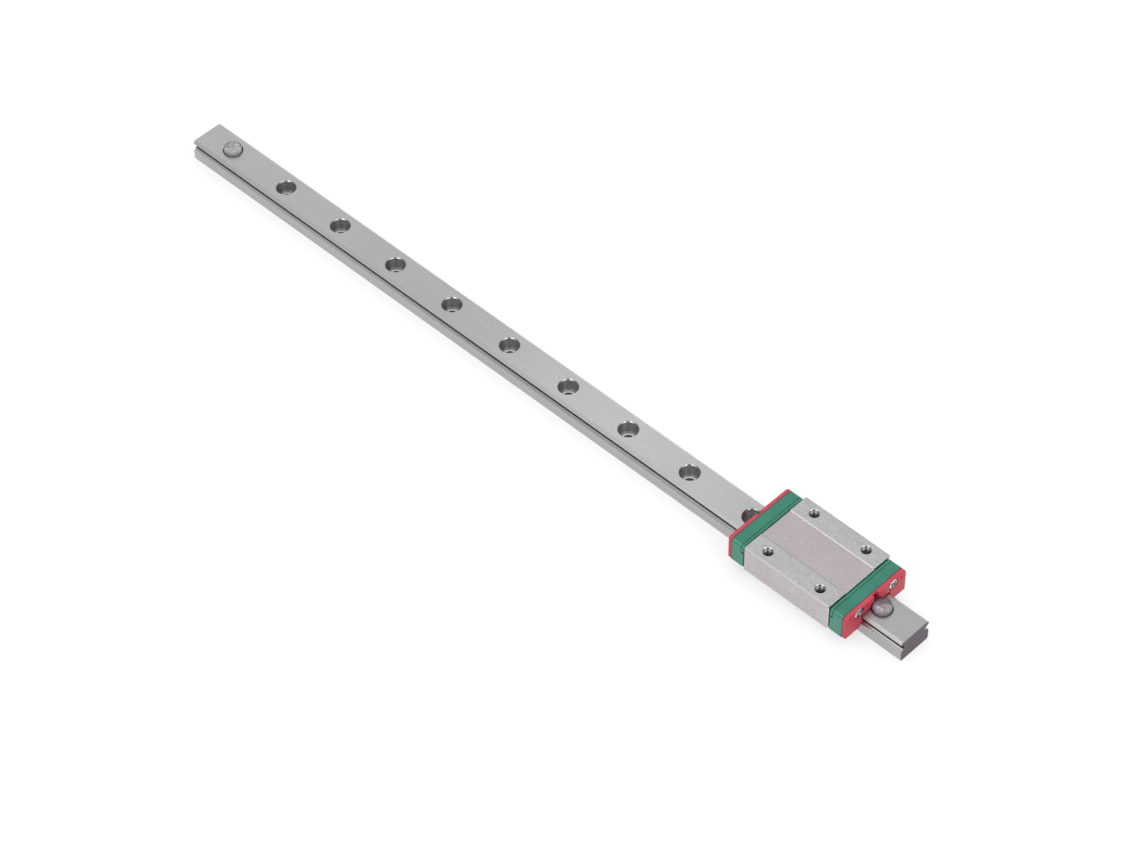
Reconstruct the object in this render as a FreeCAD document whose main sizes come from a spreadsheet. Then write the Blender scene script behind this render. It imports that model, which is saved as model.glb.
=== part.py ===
import FreeCAD, Part
import math
import os
import Sketcher
from FreeCAD import Placement, Rotation, Vector

# Miniature profile rail guide: a ground steel rail with its stop plugs, and a long ball carriage that
# runs on it. Millimetres. X runs along the rail, Z is up, and the origin is under the middle of the rail.

# Driving dimensions, in millimetres. Each one can be set by itself.
SIZES = {
    # Rail
    "rail_length": 300.0,
    "rail_width": 12.0,
    "rail_height": 8.0,
    "rail_top_chamfer": 0.8,
    "rail_foot_chamfer": 0.5,
    "rail_end_chamfer": 0.15,
    "bolt_pitch": 25.0,
    "bolt_end_distance": 12.5,
    "bolt_through": 3.5,
    "bolt_counterbore": 6.0,
    "bolt_counterbore_depth": 4.5,
    "bolt_rim_chamfer": 0.3,
    # Ball circuit
    "ball_diameter": 2.381,
    "ball_centre_height": 5.4,
    "ball_clearance": 0.05,
    "race_flattening": 0.06,
    "ball_pitch": 2.7,
    "race_lip_inset": 0.27,
    "race_lip_near": 1.0,
    "race_lip_far": 1.65,
    "return_offset": 3.6,
    "return_clearance": 0.15,
    "wire_diameter": 0.45,
    "wire_clearance": 0.15,
    "wire_slot_height": 1.2,
    "wire_bend": 0.7,
    "wire_hook_inset": 4.2,
    "wire_hook_length": 2.2,
    # Block
    "carriage_height": 13.0,
    "block_length": 32.4,
    "block_width": 27.0,
    "block_underside": 3.0,
    "block_side_gap": 0.25,
    "block_roof_gap": 0.7,
    "block_edge": 0.4,
    "block_end_edge": 0.3,
    "pad_channel_width": 12.6,
    "pad_channel_depth": 0.3,
    "mount_spacing_x": 20.0,
    "mount_spacing_y": 20.0,
    "mount_thread": 3.0,
    "mount_thread_depth": 3.5,
    "mount_countersink": 3.4,
    # End caps
    "cap_length": 5.0,
    "cap_seat_gap": 0.1,
    "cap_width": 26.3,
    "cap_drop": 0.7,
    "cap_corner": 1.55,
    "cap_lift": 0.5,
    "cap_rail_gap": 0.5,
    "cap_step_length": 0.35,
    "cap_step_depth": 0.4,
    "cap_lip": 1.15,
    "cap_line_width": 0.25,
    "cap_line_depth": 0.2,
    "cap_notch_drop": 2.6,
    "cap_notch_size": 0.7,
    "cap_notch_depth": 0.4,
    # End seals
    "seal_length": 1.4,
    "seal_inset": 0.05,
    "seal_lift": 0.4,
    "seal_foot_round": 0.5,
    "seal_front_round": 0.4,
    "seal_roof_gap": 0.4,
    "seal_relief_width": 4.4,
    "seal_relief_gap": 0.2,
    "seal_heel": 1.1,
    "seal_lip_gap": 0.3,
    "seal_lip_length": 0.7,
    "seal_tongue_reach": 0.85,
    "seal_tongue_root": 0.9,
    "seal_tongue_tip": 0.45,
    "seal_notch_width": 2.2,
    "seal_notch_depth": 0.95,
    "seal_dimple_diameter": 0.9,
    "seal_dimple_depth": 0.35,
    "seal_dimple_rim": 0.3,
    "seal_dimple_drop": 2.7,
    # Cap screws
    "screw_side": 7.4,
    "screw_length": 8.0,
    "screw_edge": 0.25,
    "screw_foot": 0.05,
    "screw_proud": 0.15,
    "screw_clearance": 0.1,
    # Stop plugs
    "plug_clearance": 0.05,
    "plug_stem_length": 2.0,
    "plug_far_proud": 1.6,
    "plug_near_proud": 1.75,
    "plug_crown": 0.15,
    "plug_shoulder": 0.6,
    "plug_stop_gap": 0.1,
}

doc = FreeCAD.newDocument("linear_guide")
sheet = doc.addObject("Spreadsheet::Sheet", "Sizes")
for row, (alias, number) in enumerate(SIZES.items(), start=1):
    sheet.set("A%d" % row, alias)
    sheet.set("B%d" % row, str(number))
    sheet.setAlias("B%d" % row, alias)
doc.recompute()


class Length:
    """A size that carries its formula, for binding, and its present value, for a first drawing."""

    def __init__(self, formula, value):
        self.formula = formula
        self.value = value

    def __add__(self, other):
        other = as_length(other)
        return Length("(%s + %s)" % (self.formula, other.formula), self.value + other.value)

    def __sub__(self, other):
        other = as_length(other)
        return Length("(%s - %s)" % (self.formula, other.formula), self.value - other.value)

    def __mul__(self, other):
        other = as_length(other)
        return Length("(%s * %s)" % (self.formula, other.formula), self.value * other.value)

    def __truediv__(self, other):
        other = as_length(other)
        return Length("(%s / %s)" % (self.formula, other.formula), self.value / other.value)

    def __neg__(self):
        return Length("(-1 * %s)" % self.formula, -self.value)


def as_length(number):
    if isinstance(number, Length):
        return number
    return Length(repr(float(number)), float(number))


def whole(length):
    """The whole number in this one, where one that falls a hair short still counts."""
    return Length("floor(%s + 0.001)" % length.formula, math.floor(length.value + 0.001))


def size(alias):
    return Length("Sizes.%s" % alias, float(sheet.get(alias)))


ZERO = as_length(0)
OVERSHOOT = as_length(1.0)

# Proportions of a cap screw and of the lubrication hole, each as a share of the screw's head
SHANK_SHARE = 4 / 7
HEAD_ROUND_SHARE = 0.1
CROSS_LENGTH_SHARE = 0.63
CROSS_WIDTH_SHARE = 0.14
CROSS_DEPTH_SHARE = 0.2
LUBE_SHARE = 0.4

# Sizes that follow from the driving ones
rail_half = size("rail_width") / 2
rail_end = size("rail_length") / 2
bolt_gaps = whole((size("rail_length") - size("bolt_end_distance") * 2) / size("bolt_pitch"))
last_bolt = bolt_gaps * size("bolt_pitch") / 2
ball_height = size("ball_centre_height")
ball_side = rail_half + size("block_side_gap") / 2
ball_radius = size("ball_diameter") / 2
race_radius = ball_radius + size("ball_clearance") + size("race_flattening")
race_shift = size("race_flattening") * math.sqrt(0.5)
return_side = ball_side + size("return_offset")
return_radius = ball_radius + size("return_clearance")
wire_radius = size("wire_diameter") / 2
wire_side = ball_side - ball_radius - size("ball_clearance") - wire_radius
wire_slot_floor = wire_side - wire_radius - size("wire_clearance")
block_half_length = size("block_length") / 2
block_half_width = size("block_width") / 2
block_inner = rail_half + size("block_side_gap")
block_roof = size("rail_height") + size("block_roof_gap")
cap_face = block_half_length + size("cap_seat_gap")
seal_face = cap_face + size("cap_length")
cap_top = size("carriage_height") - size("cap_drop")
cap_half_width = size("cap_width") / 2
cap_bottom = size("block_underside") + size("cap_lift")
cap_roof = size("rail_height") + size("cap_rail_gap")
screw_head = cap_top - cap_roof - size("screw_edge") - size("screw_foot")
screw_height = cap_top - size("screw_edge") - screw_head / 2
screw_shank = screw_head * SHANK_SHARE
lube_height = (cap_top + cap_roof) / 2
lube_radius = screw_head * LUBE_SHARE / 2
plug_head = size("bolt_counterbore") / 2 - size("plug_clearance")
carriage_x = last_bolt - plug_head - size("plug_stop_gap") - seal_face - size("seal_lip_length")


# Drawing helpers
def new_body(label):
    body = doc.addObject("PartDesign::Body", label)
    body.Label = label
    return body


def origin_plane(body, role):
    return next(feature for feature in body.Origin.OriginFeatures if feature.Role == role)


def new_sketch(body, name, role, offset=None):
    sketch = body.newObject("Sketcher::SketchObject", name)
    sketch.AttachmentSupport = (origin_plane(body, role), "")
    sketch.MapMode = "FlatFace"
    if offset is not None:
        sketch.setExpression(".AttachmentOffset.Base.z", offset.formula)
    return sketch


def pin(sketch, geometry, point, across=None, up=None):
    """Hold one point of a sketch by its distances from the sketch's origin."""
    for kind, axis, distance in (("DistanceX", -2, across), ("DistanceY", -1, up)):
        if distance is None:
            continue
        if distance is ZERO:
            sketch.addConstraint(Sketcher.Constraint("PointOnObject", geometry, point, axis))
            continue
        rule = Sketcher.Constraint(kind, -1, 1, geometry, point, distance.value)
        index = sketch.addConstraint(rule)
        sketch.setExpression("Constraints[%d]" % index, distance.formula)


def polygon(sketch, corners):
    """Draw a closed outline of straight lines through (across, up) corners."""
    spots = [Vector(across.value, up.value, 0) for across, up in corners]
    lines = []
    for index, spot in enumerate(spots):
        lines.append(sketch.addGeometry(Part.LineSegment(spot, spots[(index + 1) % len(spots)])))
    for index, line in enumerate(lines):
        following = lines[(index + 1) % len(lines)]
        sketch.addConstraint(Sketcher.Constraint("Coincident", line, 2, following, 1))
        pin(sketch, line, 1, *corners[index])


def rectangle(sketch, left, right, low, high):
    polygon(sketch, [(left, low), (right, low), (right, high), (left, high)])


def circle(sketch, across, up, radius):
    shape = Part.Circle(Vector(across.value, up.value, 0), Vector(0, 0, 1), radius.value)
    geometry = sketch.addGeometry(shape)
    pin(sketch, geometry, 3, across, up)
    hold_radius(sketch, geometry, radius)


def add_arc(sketch, centre, start, end):
    """Draw the short arc from start to end. Gives its number and which of its points start and end it."""
    first = math.atan2(start.y - centre.y, start.x - centre.x)
    last = math.atan2(end.y - centre.y, end.x - centre.x)
    forward = (last - first) % (2 * math.pi) < math.pi
    if not forward:
        first, last = last, first
    full = Part.Circle(centre, Vector(0, 0, 1), centre.distanceToPoint(start))
    arc = sketch.addGeometry(Part.ArcOfCircle(full, first, first + (last - first) % (2 * math.pi)))
    return arc, (1 if forward else 2), (2 if forward else 1)


def hold_radius(sketch, geometry, radius):
    index = sketch.addConstraint(Sketcher.Constraint("Radius", geometry, radius.value))
    sketch.setExpression("Constraints[%d]" % index, radius.formula)


def gothic_arch(sketch, side, height, shift, radius):
    """Draw a ball race: two arcs that meet in a point, closed by an upright line at `side`."""
    centre = side + shift
    inward = -1 if shift.value > 0 else 1
    away = shift if shift.value > 0 else -shift
    reach = math.sqrt(radius.value ** 2 - shift.value ** 2)
    tip = Vector(centre.value + inward * reach, height.value, 0)
    ends = []
    for up, level in ((1, height - away), (-1, height + away)):
        middle = Vector(centre.value, level.value, 0)
        mouth = Vector(side.value, middle.y + up * reach, 0)
        arc, at_tip, at_mouth = add_arc(sketch, middle, tip, mouth)
        pin(sketch, arc, 3, centre, level)
        hold_radius(sketch, arc, radius)
        ends.append((arc, at_tip, at_mouth, mouth))
    upper, lower = ends
    line = sketch.addGeometry(Part.LineSegment(upper[3], lower[3]))
    sketch.addConstraint(Sketcher.Constraint("Coincident", upper[0], upper[1], lower[0], lower[1]))
    for point, (arc, _, at_mouth, _) in enumerate(ends, start=1):
        sketch.addConstraint(Sketcher.Constraint("Coincident", arc, at_mouth, line, point))
        pin(sketch, line, point, side)


def bind(feature, **lengths):
    for name, length in lengths.items():
        feature.setExpression(name, length.formula)


def pad(body, name, sketch, length):
    feature = body.newObject("PartDesign::Pad", name)
    feature.Profile = sketch
    bind(feature, Length=length)
    doc.recompute()
    return feature


def pocket(body, name, sketch, length, reverse=False):
    feature = body.newObject("PartDesign::Pocket", name)
    feature.Profile = sketch
    feature.Reversed = reverse
    bind(feature, Length=length)
    doc.recompute()
    return feature


def turn(body, name, sketch, cut=False, axis="V_Axis"):
    feature = body.newObject("PartDesign::Groove" if cut else "PartDesign::Revolution", name)
    feature.Profile = sketch
    feature.ReferenceAxis = (sketch, [axis])
    feature.Angle = 360
    doc.recompute()
    return feature


def mirror(body, name, features, role):
    feature = body.newObject("PartDesign::Mirrored", name)
    feature.Originals = features
    feature.MirrorPlane = (origin_plane(body, role), [""])
    body.Tip = feature
    doc.recompute()
    return feature


def break_edges(body, kind, name, chosen, amount):
    """Chamfer or round the edges that `chosen` picks by their middle point and direction."""
    base = body.Tip
    names = []
    for index, edge in enumerate(base.Shape.Edges, start=1):
        if chosen(edge):
            names.append("Edge%d" % index)
    feature = body.newObject("PartDesign::%s" % kind, name)
    feature.Base = (base, names)
    bind(feature, **{"Size" if kind == "Chamfer" else "Radius": amount})
    doc.recompute()
    return feature


def place(thing, x, turned=False, y=None, z=None):
    thing.Placement = Placement(Vector(0, 0, 0), Rotation(Vector(0, 0, 1), 180 if turned else 0))
    for axis, distance in (("x", x), ("y", y), ("z", z)):
        if distance is not None:
            thing.setExpression(".Placement.Base.%s" % axis, distance.formula)


# Rail: ground bar with a gothic-arch ball race and a wire slot in each side, and counterbored bolt holes
def make_rail():
    body = new_body("rail")
    section = new_sketch(body, "rail_section", "YZ_Plane", -rail_end)
    foot = size("rail_foot_chamfer")
    crown = size("rail_top_chamfer")
    height = size("rail_height")
    polygon(section, [
        (-(rail_half - foot), ZERO),
        (rail_half - foot, ZERO),
        (rail_half, foot),
        (rail_half, height - crown),
        (rail_half - crown, height),
        (-(rail_half - crown), height),
        (-rail_half, height - crown),
        (-rail_half, foot),
    ])
    pad(body, "rail_bar", section, size("rail_length"))

    race = new_sketch(body, "race_section", "YZ_Plane", -rail_end)
    gothic_arch(race, ball_side, ball_height, race_shift, race_radius)
    race_cut = pocket(body, "race", race, size("rail_length"), reverse=True)
    slot = new_sketch(body, "wire_slot_section", "YZ_Plane", -rail_end)
    slot_half = size("wire_slot_height") / 2
    rectangle(slot, wire_slot_floor, ball_side, ball_height - slot_half, ball_height + slot_half)
    slot_cut = pocket(body, "wire_slot", slot, size("rail_length"), reverse=True)
    lips = new_sketch(body, "race_lips_section", "YZ_Plane", -rail_end)
    lip = rail_half - size("race_lip_inset")
    near = size("race_lip_near")
    far = size("race_lip_far")
    polygon(lips, [
        (lip, ball_height - near), (rail_half, ball_height - far),
        (rail_half + OVERSHOOT, ball_height - far), (rail_half + OVERSHOOT, ball_height + far),
        (rail_half, ball_height + far), (lip, ball_height + near),
    ])
    lips_cut = pocket(body, "race_lips", lips, size("rail_length"), reverse=True)
    mirror(body, "other_side", [race_cut, slot_cut, lips_cut], "XZ_Plane")

    hole = new_sketch(body, "bolt_section", "XZ_Plane")
    first = -last_bolt
    bore = size("bolt_through") / 2
    sink = size("bolt_counterbore") / 2
    ledge = height - size("bolt_counterbore_depth")
    rim = size("bolt_rim_chamfer")
    polygon(hole, [
        (first, -OVERSHOOT),
        (first + bore, -OVERSHOOT),
        (first + bore, ledge),
        (first + sink, ledge),
        (first + sink, height - rim),
        (first + sink + rim, height),
        (first + sink + rim, height + OVERSHOOT),
        (first, height + OVERSHOOT),
    ])
    axis = hole.addGeometry(Part.LineSegment(Vector(first.value, 0, 0), Vector(first.value, 1, 0)), True)
    pin(hole, axis, 1, first, ZERO)
    pin(hole, axis, 2, first, OVERSHOOT)
    bolt_cut = turn(body, "bolt_hole", hole, cut=True, axis="Axis0")
    row = body.newObject("PartDesign::LinearPattern", "bolt_row")
    row.Originals = [bolt_cut]
    row.Direction = (hole, ["H_Axis"])
    row.Mode = "Spacing"
    bind(row, Offset=size("bolt_pitch"))
    row.setExpression("Occurrences", (bolt_gaps + 1).formula)
    body.Tip = row
    doc.recompute()

    def top_of_end_face(edge):
        box = edge.BoundBox
        on_end = box.XLength < 0.001 and abs(abs(box.XMin) - rail_end.value) < 0.001
        return on_end and box.ZMin > (height - crown).value - 0.001

    break_edges(body, "Chamfer", "end_edges", top_of_end_face, size("rail_end_chamfer"))
    return body


# Stop plugs: soft plugs pushed into the first and last bolt holes, so that the carriage can't run off
def make_plug(label, x, proud):
    body = new_body(label)
    half = new_sketch(body, "%s_half" % label, "XZ_Plane")
    height = size("rail_height")
    clearance = size("plug_clearance")
    stem = size("bolt_through") / 2 - clearance
    ledge = height - size("bolt_counterbore_depth") + clearance
    tip = ledge - size("plug_stem_length")
    top = height + proud
    crown = size("plug_crown")
    shoulder = top - crown
    corners = [(ZERO, tip), (stem, tip), (stem, ledge), (plug_head, ledge), (plug_head, shoulder),
               (ZERO, top)]
    spots = [Vector(across.value, up.value, 0) for across, up in corners]
    lines = []
    for start, end in zip(spots[:4], spots[1:5]):
        lines.append(half.addGeometry(Part.LineSegment(start, end)))
    for line, following in zip(lines, lines[1:]):
        half.addConstraint(Sketcher.Constraint("Coincident", line, 2, following, 1))
    for line, corner in zip(lines, corners):
        pin(half, line, 1, *corner)
    pin(half, lines[-1], 2, *corners[4])
    radius = (plug_head.value ** 2 + crown.value ** 2) / (2 * crown.value)
    middle = Vector(0, top.value - radius, 0)
    cap, rim_end, top_end = add_arc(half, middle, spots[4], spots[5])
    half.addConstraint(Sketcher.Constraint("Coincident", cap, rim_end, lines[-1], 2))
    half.addConstraint(Sketcher.Constraint("PointOnObject", cap, 3, -2))
    pin(half, cap, top_end, ZERO, top)
    spine = half.addGeometry(Part.LineSegment(spots[5], spots[0]))
    half.addConstraint(Sketcher.Constraint("Coincident", spine, 1, cap, top_end))
    half.addConstraint(Sketcher.Constraint("Coincident", spine, 2, lines[0], 1))
    turn(body, "%s_turned" % label, half)

    def shoulder_edge(edge):
        box = edge.BoundBox
        return box.ZLength < 0.001 and abs(box.ZMin - shoulder.value) < 0.001

    break_edges(body, "Fillet", "%s_shoulder" % label, shoulder_edge, size("plug_shoulder"))
    place(body, x)
    return body


# Carriage block: hardened steel saddle with ball races, return bores and four threaded mounting holes
def make_block():
    body = new_body("carriage_block")
    section = new_sketch(body, "block_section", "YZ_Plane", -block_half_length)
    floor = size("block_underside")
    top = size("carriage_height")
    edge = size("block_edge")
    channel = size("pad_channel_width") / 2
    channel_floor = top - size("pad_channel_depth")
    wide = block_half_width
    polygon(section, [
        (-block_inner, floor), (-block_inner, block_roof),
        (block_inner, block_roof), (block_inner, floor),
        (wide - edge, floor), (wide, floor + edge),
        (wide, top - edge), (wide - edge, top),
        (channel, top), (channel, channel_floor),
        (-channel, channel_floor), (-channel, top),
        (-(wide - edge), top), (-wide, top - edge),
        (-wide, floor + edge), (-(wide - edge), floor),
    ])
    pad(body, "block_bar", section, size("block_length"))

    def on_outer_end_edge(edge_line):
        box = edge_line.BoundBox
        at_end = box.XLength < 0.001 and abs(abs(box.XMin) - block_half_length.value) < 0.001
        inner = abs(box.Center.y) < block_inner.value + 0.01 and box.ZMax < block_roof.value + 0.01
        return at_end and not inner

    break_edges(body, "Chamfer", "block_end_edges", on_outer_end_edge, size("block_end_edge"))

    race = new_sketch(body, "block_race_section", "YZ_Plane", -block_half_length)
    gothic_arch(race, ball_side, ball_height, -race_shift, race_radius)
    race_cut = pocket(body, "block_race", race, size("block_length"), reverse=True)
    bore = new_sketch(body, "return_section", "YZ_Plane", -block_half_length)
    circle(bore, return_side, ball_height, return_radius)
    bore_cut = pocket(body, "return_bore", bore, size("block_length"), reverse=True)
    mirror(body, "other_race", [race_cut, bore_cut], "XZ_Plane")

    tap = new_sketch(body, "cap_screw_holes", "YZ_Plane", block_half_length)
    for side in (size("screw_side"), -size("screw_side")):
        circle(tap, side, screw_height, screw_shank / 2 + size("screw_clearance") / 2)
    reach = size("screw_length") - size("cap_length") - size("cap_seat_gap") + screw_shank / 2
    tap_cut = pocket(body, "cap_screw_hole", tap, reach)
    mirror(body, "other_end", [tap_cut], "YZ_Plane")

    spots = new_sketch(body, "mount_spots", "XY_Plane", top)
    for x in (size("mount_spacing_x") / 2, -size("mount_spacing_x") / 2):
        for y in (size("mount_spacing_y") / 2, -size("mount_spacing_y") / 2):
            circle(spots, x, y, size("mount_thread") / 2)
    doc.recompute()
    holes = body.newObject("PartDesign::Hole", "mount_holes")
    holes.Profile = spots
    holes.Threaded = False
    holes.DepthType = "Dimension"
    holes.DrillPoint = "Angled"
    holes.HoleCutType = "Countersink"
    bind(holes, Diameter=size("mount_thread"), Depth=size("mount_thread_depth"),
         HoleCutDiameter=size("mount_countersink"))
    holes.HoleCutCountersinkAngle = 90
    doc.recompute()
    place(body, carriage_x)
    return body


def along_plate(half_width, level):
    """Pick the edges that run through a plate's thickness at this height on its two outer sides."""
    def chosen(edge):
        box = edge.BoundBox
        through = box.YLength < 0.001 and box.ZLength < 0.001
        at_side = abs(abs(box.YMin) - half_width.value) < 0.001
        return through and at_side and abs(box.ZMin - level.value) < 0.001

    return chosen


def hem(sketch, low, deep):
    """Draw the strip round the outside of an end cap, this deep and down to this height on both sides."""
    corner = size("cap_corner")
    bend = corner - (corner - deep) * math.sqrt(0.5)
    outer = cap_half_width + OVERSHOOT
    outer_top = cap_top + OVERSHOOT
    inner = [
        (cap_half_width - corner, cap_top - deep), (cap_half_width - bend, cap_top - bend),
        (cap_half_width - deep, cap_top - corner), (cap_half_width - deep, low),
    ]
    other_side = [(-across, up) for across, up in reversed(inner)]
    polygon(sketch, [(outer, low), (outer, outer_top), (-outer, outer_top), (-outer, low)]
            + other_side + inner)


# End cap: moulded plate whose channels turn each row of balls round into its return bore
def make_end_cap(label, x, turned):
    body = new_body(label)
    plate = new_sketch(body, "%s_section" % label, "YZ_Plane")
    opening = rail_half + size("cap_rail_gap")
    polygon(plate, [
        (-opening, cap_bottom), (-opening, cap_roof), (opening, cap_roof), (opening, cap_bottom),
        (cap_half_width, cap_bottom), (cap_half_width, cap_top),
        (-cap_half_width, cap_top), (-cap_half_width, cap_bottom),
    ])
    pad(body, "%s_plate" % label, plate, size("cap_length"))
    upper_corners = along_plate(cap_half_width, cap_top)
    break_edges(body, "Fillet", "%s_corners" % label, upper_corners, size("cap_corner"))

    channel = new_sketch(body, "%s_turn_section" % label, "YZ_Plane")
    middle = (ball_side + return_side) / 2
    circle(channel, return_side, ball_height, return_radius)
    pivot = Part.LineSegment(Vector(middle.value, 0, 0), Vector(middle.value, 1, 0))
    axis = channel.addGeometry(pivot, True)
    pin(channel, axis, 1, middle, ZERO)
    pin(channel, axis, 2, middle, OVERSHOOT)
    channel_cut = turn(body, "%s_turn" % label, channel, cut=True, axis="Axis0")
    mirror(body, "%s_other_turn" % label, [channel_cut], "XZ_Plane")

    bores = new_sketch(body, "%s_bores_section" % label, "YZ_Plane")
    for side in (size("screw_side"), -size("screw_side")):
        circle(bores, side, screw_height, screw_shank / 2 + size("screw_clearance"))
    circle(bores, ZERO, lube_height, lube_radius)
    pocket(body, "%s_bores" % label, bores, size("cap_length"), reverse=True)

    # The step that leaves a dark joint beside the block
    step = new_sketch(body, "%s_step_section" % label, "YZ_Plane")
    hem(step, cap_bottom - OVERSHOOT, size("cap_step_depth"))
    pocket(body, "%s_step" % label, step, size("cap_step_length"), reverse=True)

    # The fine line that sets off the lip beside the step, down to the notch in each side
    line = new_sketch(body, "%s_line_section" % label, "YZ_Plane", size("cap_lip"))
    notch_low = cap_top - size("cap_notch_drop")
    hem(line, notch_low, size("cap_line_depth"))
    pocket(body, "%s_line" % label, line, size("cap_line_width"), reverse=True)

    notch = new_sketch(body, "%s_notch_section" % label, "YZ_Plane")
    outer = cap_half_width + OVERSHOOT
    notch_deep = cap_half_width - size("cap_notch_depth")
    notch_base = notch_low - size("cap_notch_size")
    rectangle(notch, notch_deep, outer, notch_base, notch_low)
    rectangle(notch, -outer, -notch_deep, notch_base, notch_low)
    pocket(body, "%s_notch" % label, notch, size("cap_lip") + size("cap_line_width"), reverse=True)

    # Sockets that hold the hooked ends of the two retaining wires
    socket = new_sketch(body, "%s_socket_section" % label, "XZ_Plane", -wire_socket_end)
    circle(socket, size("wire_hook_inset"), ball_height, wire_radius + size("ball_clearance"))
    pocket(body, "%s_socket" % label, socket, wire_socket_end * 2, reverse=True)
    place(body, carriage_x - cap_face if turned else carriage_x + cap_face, turned)
    return body


# End seal: rubber-faced wiper plate with a lip that follows the rail, a grease channel and two dimples
def make_end_seal(label, x, turned):
    body = new_body(label)
    half_width = cap_half_width - size("seal_inset")
    bottom = size("block_underside") + size("seal_lift")
    roof = size("rail_height") + size("seal_roof_gap")
    plate = new_sketch(body, "%s_section" % label, "YZ_Plane")
    lip = rail_half + size("seal_lip_gap")
    reach = lip - size("seal_tongue_reach")
    root = size("seal_tongue_root")
    tip = size("seal_tongue_tip")
    side = [(lip, roof), (lip, ball_height + root), (reach, ball_height + tip),
            (reach, ball_height - tip), (lip, ball_height - root), (lip + size("seal_heel"), bottom),
            (half_width, bottom), (half_width, cap_top)]
    polygon(plate, [(-across, up) for across, up in reversed(side)] + side)
    pad(body, "%s_plate" % label, plate, size("seal_length"))
    upper_corners = along_plate(half_width, cap_top)
    break_edges(body, "Fillet", "%s_corners" % label, upper_corners, size("cap_corner"))
    feet = along_plate(half_width, bottom)
    break_edges(body, "Fillet", "%s_feet" % label, feet, size("seal_foot_round"))

    def front_outline(edge):
        box = edge.BoundBox
        on_front = box.XLength < 0.001 and abs(box.XMin - size("seal_length").value) < 0.001
        high = box.Center.z > cap_top.value - size("cap_corner").value - 0.001
        tall_side = abs(box.Center.y) > half_width.value - 0.001
        return on_front and (high or tall_side)

    break_edges(body, "Fillet", "%s_front_edge" % label, front_outline, size("seal_front_round"))

    # Room in the front for the stop plug, which the lip behind runs up against
    relief = new_sketch(body, "%s_relief_section" % label, "YZ_Plane", size("seal_lip_length"))
    wide = size("seal_relief_width") / 2
    relief_top = size("rail_height") + size("plug_near_proud") + size("seal_relief_gap")
    rectangle(relief, -wide, wide, roof - OVERSHOOT, relief_top)
    pocket(body, "%s_relief" % label, relief, size("seal_length"), reverse=True)

    notch = new_sketch(body, "%s_notch_section" % label, "YZ_Plane", size("seal_length"))
    notch_half = size("seal_notch_width") / 2
    rectangle(notch, -notch_half, notch_half, roof - OVERSHOOT, cap_top + OVERSHOOT)
    pocket(body, "%s_notch" % label, notch, size("seal_notch_depth"))
    bores = new_sketch(body, "%s_bores_section" % label, "YZ_Plane")
    circle(bores, ZERO, lube_height, lube_radius)
    seat = screw_head / 2 + size("screw_clearance")
    for across in (size("screw_side"), -size("screw_side")):
        circle(bores, across, screw_height, seat)
    pocket(body, "%s_bores" % label, bores, size("seal_length"), reverse=True)
    dimples = new_sketch(body, "%s_dimples_section" % label, "YZ_Plane", size("seal_length"))
    dimple_height = size("carriage_height") - size("seal_dimple_drop")
    dimple_side = (size("screw_side") + seat + half_width - size("seal_front_round")) / 2
    for across in (dimple_side, -dimple_side):
        circle(dimples, across, dimple_height, size("seal_dimple_diameter") / 2)
    pocket(body, "%s_dimples" % label, dimples, size("seal_dimple_depth"))

    def dimple_rim(edge):
        box = edge.BoundBox
        on_front = box.XLength < 0.001 and abs(box.XMin - size("seal_length").value) < 0.001
        return on_front and abs(box.YLength - size("seal_dimple_diameter").value) < 0.001

    break_edges(body, "Chamfer", "%s_dimple_rims" % label, dimple_rim, size("seal_dimple_rim"))
    place(body, carriage_x - seal_face if turned else carriage_x + seal_face, turned)
    return body


# Cap screws: small pan heads with a cross recess, through cap and seal into the block
def make_cap_screw(label, turned, side):
    body = new_body(label)
    half = new_sketch(body, "%s_half" % label, "XY_Plane")
    head = screw_head / 2
    shank = screw_shank / 2
    tall = size("seal_length") + size("screw_proud")
    soft = screw_head * HEAD_ROUND_SHARE
    polygon(half, [
        (-size("screw_length"), ZERO), (-size("screw_length"), shank),
        (ZERO, shank), (ZERO, head), (tall - soft, head), (tall, head - soft), (tall, ZERO),
    ])
    turn(body, "%s_turned" % label, half, axis="H_Axis")
    long_half = screw_head * CROSS_LENGTH_SHARE / 2
    thin_half = screw_head * CROSS_WIDTH_SHARE / 2
    cross = new_sketch(body, "%s_cross_section" % label, "YZ_Plane", tall)
    polygon(cross, [
        (long_half, -thin_half), (long_half, thin_half), (thin_half, thin_half), (thin_half, long_half),
        (-thin_half, long_half), (-thin_half, thin_half), (-long_half, thin_half),
        (-long_half, -thin_half), (-thin_half, -thin_half), (-thin_half, -long_half),
        (thin_half, -long_half), (thin_half, -thin_half),
    ])
    pocket(body, "%s_cross" % label, cross, screw_head * CROSS_DEPTH_SHARE)
    face = carriage_x - seal_face if turned else carriage_x + seal_face
    place(body, face, turned, y=side, z=screw_height)
    return body


# Balls under load: one row on each side, between the rail's race and the block's
def make_ball_row(label, side):
    count = int(size("block_length").value / size("ball_pitch").value + 0.001)
    balls = []
    for index in range(count):
        ball = doc.addObject("Part::Sphere", "%s_%02d" % (label, index + 1))
        bind(ball, Radius=ball_radius)
        offset = index - (count - 1) / 2
        ball.setExpression(".Placement.Base.x", (size("ball_pitch") * offset).formula)
        balls.append(ball)
    row = doc.addObject("Part::Compound", label)
    row.Label = label
    row.Links = balls
    place(row, carriage_x, y=side, z=ball_height)
    return row


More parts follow.
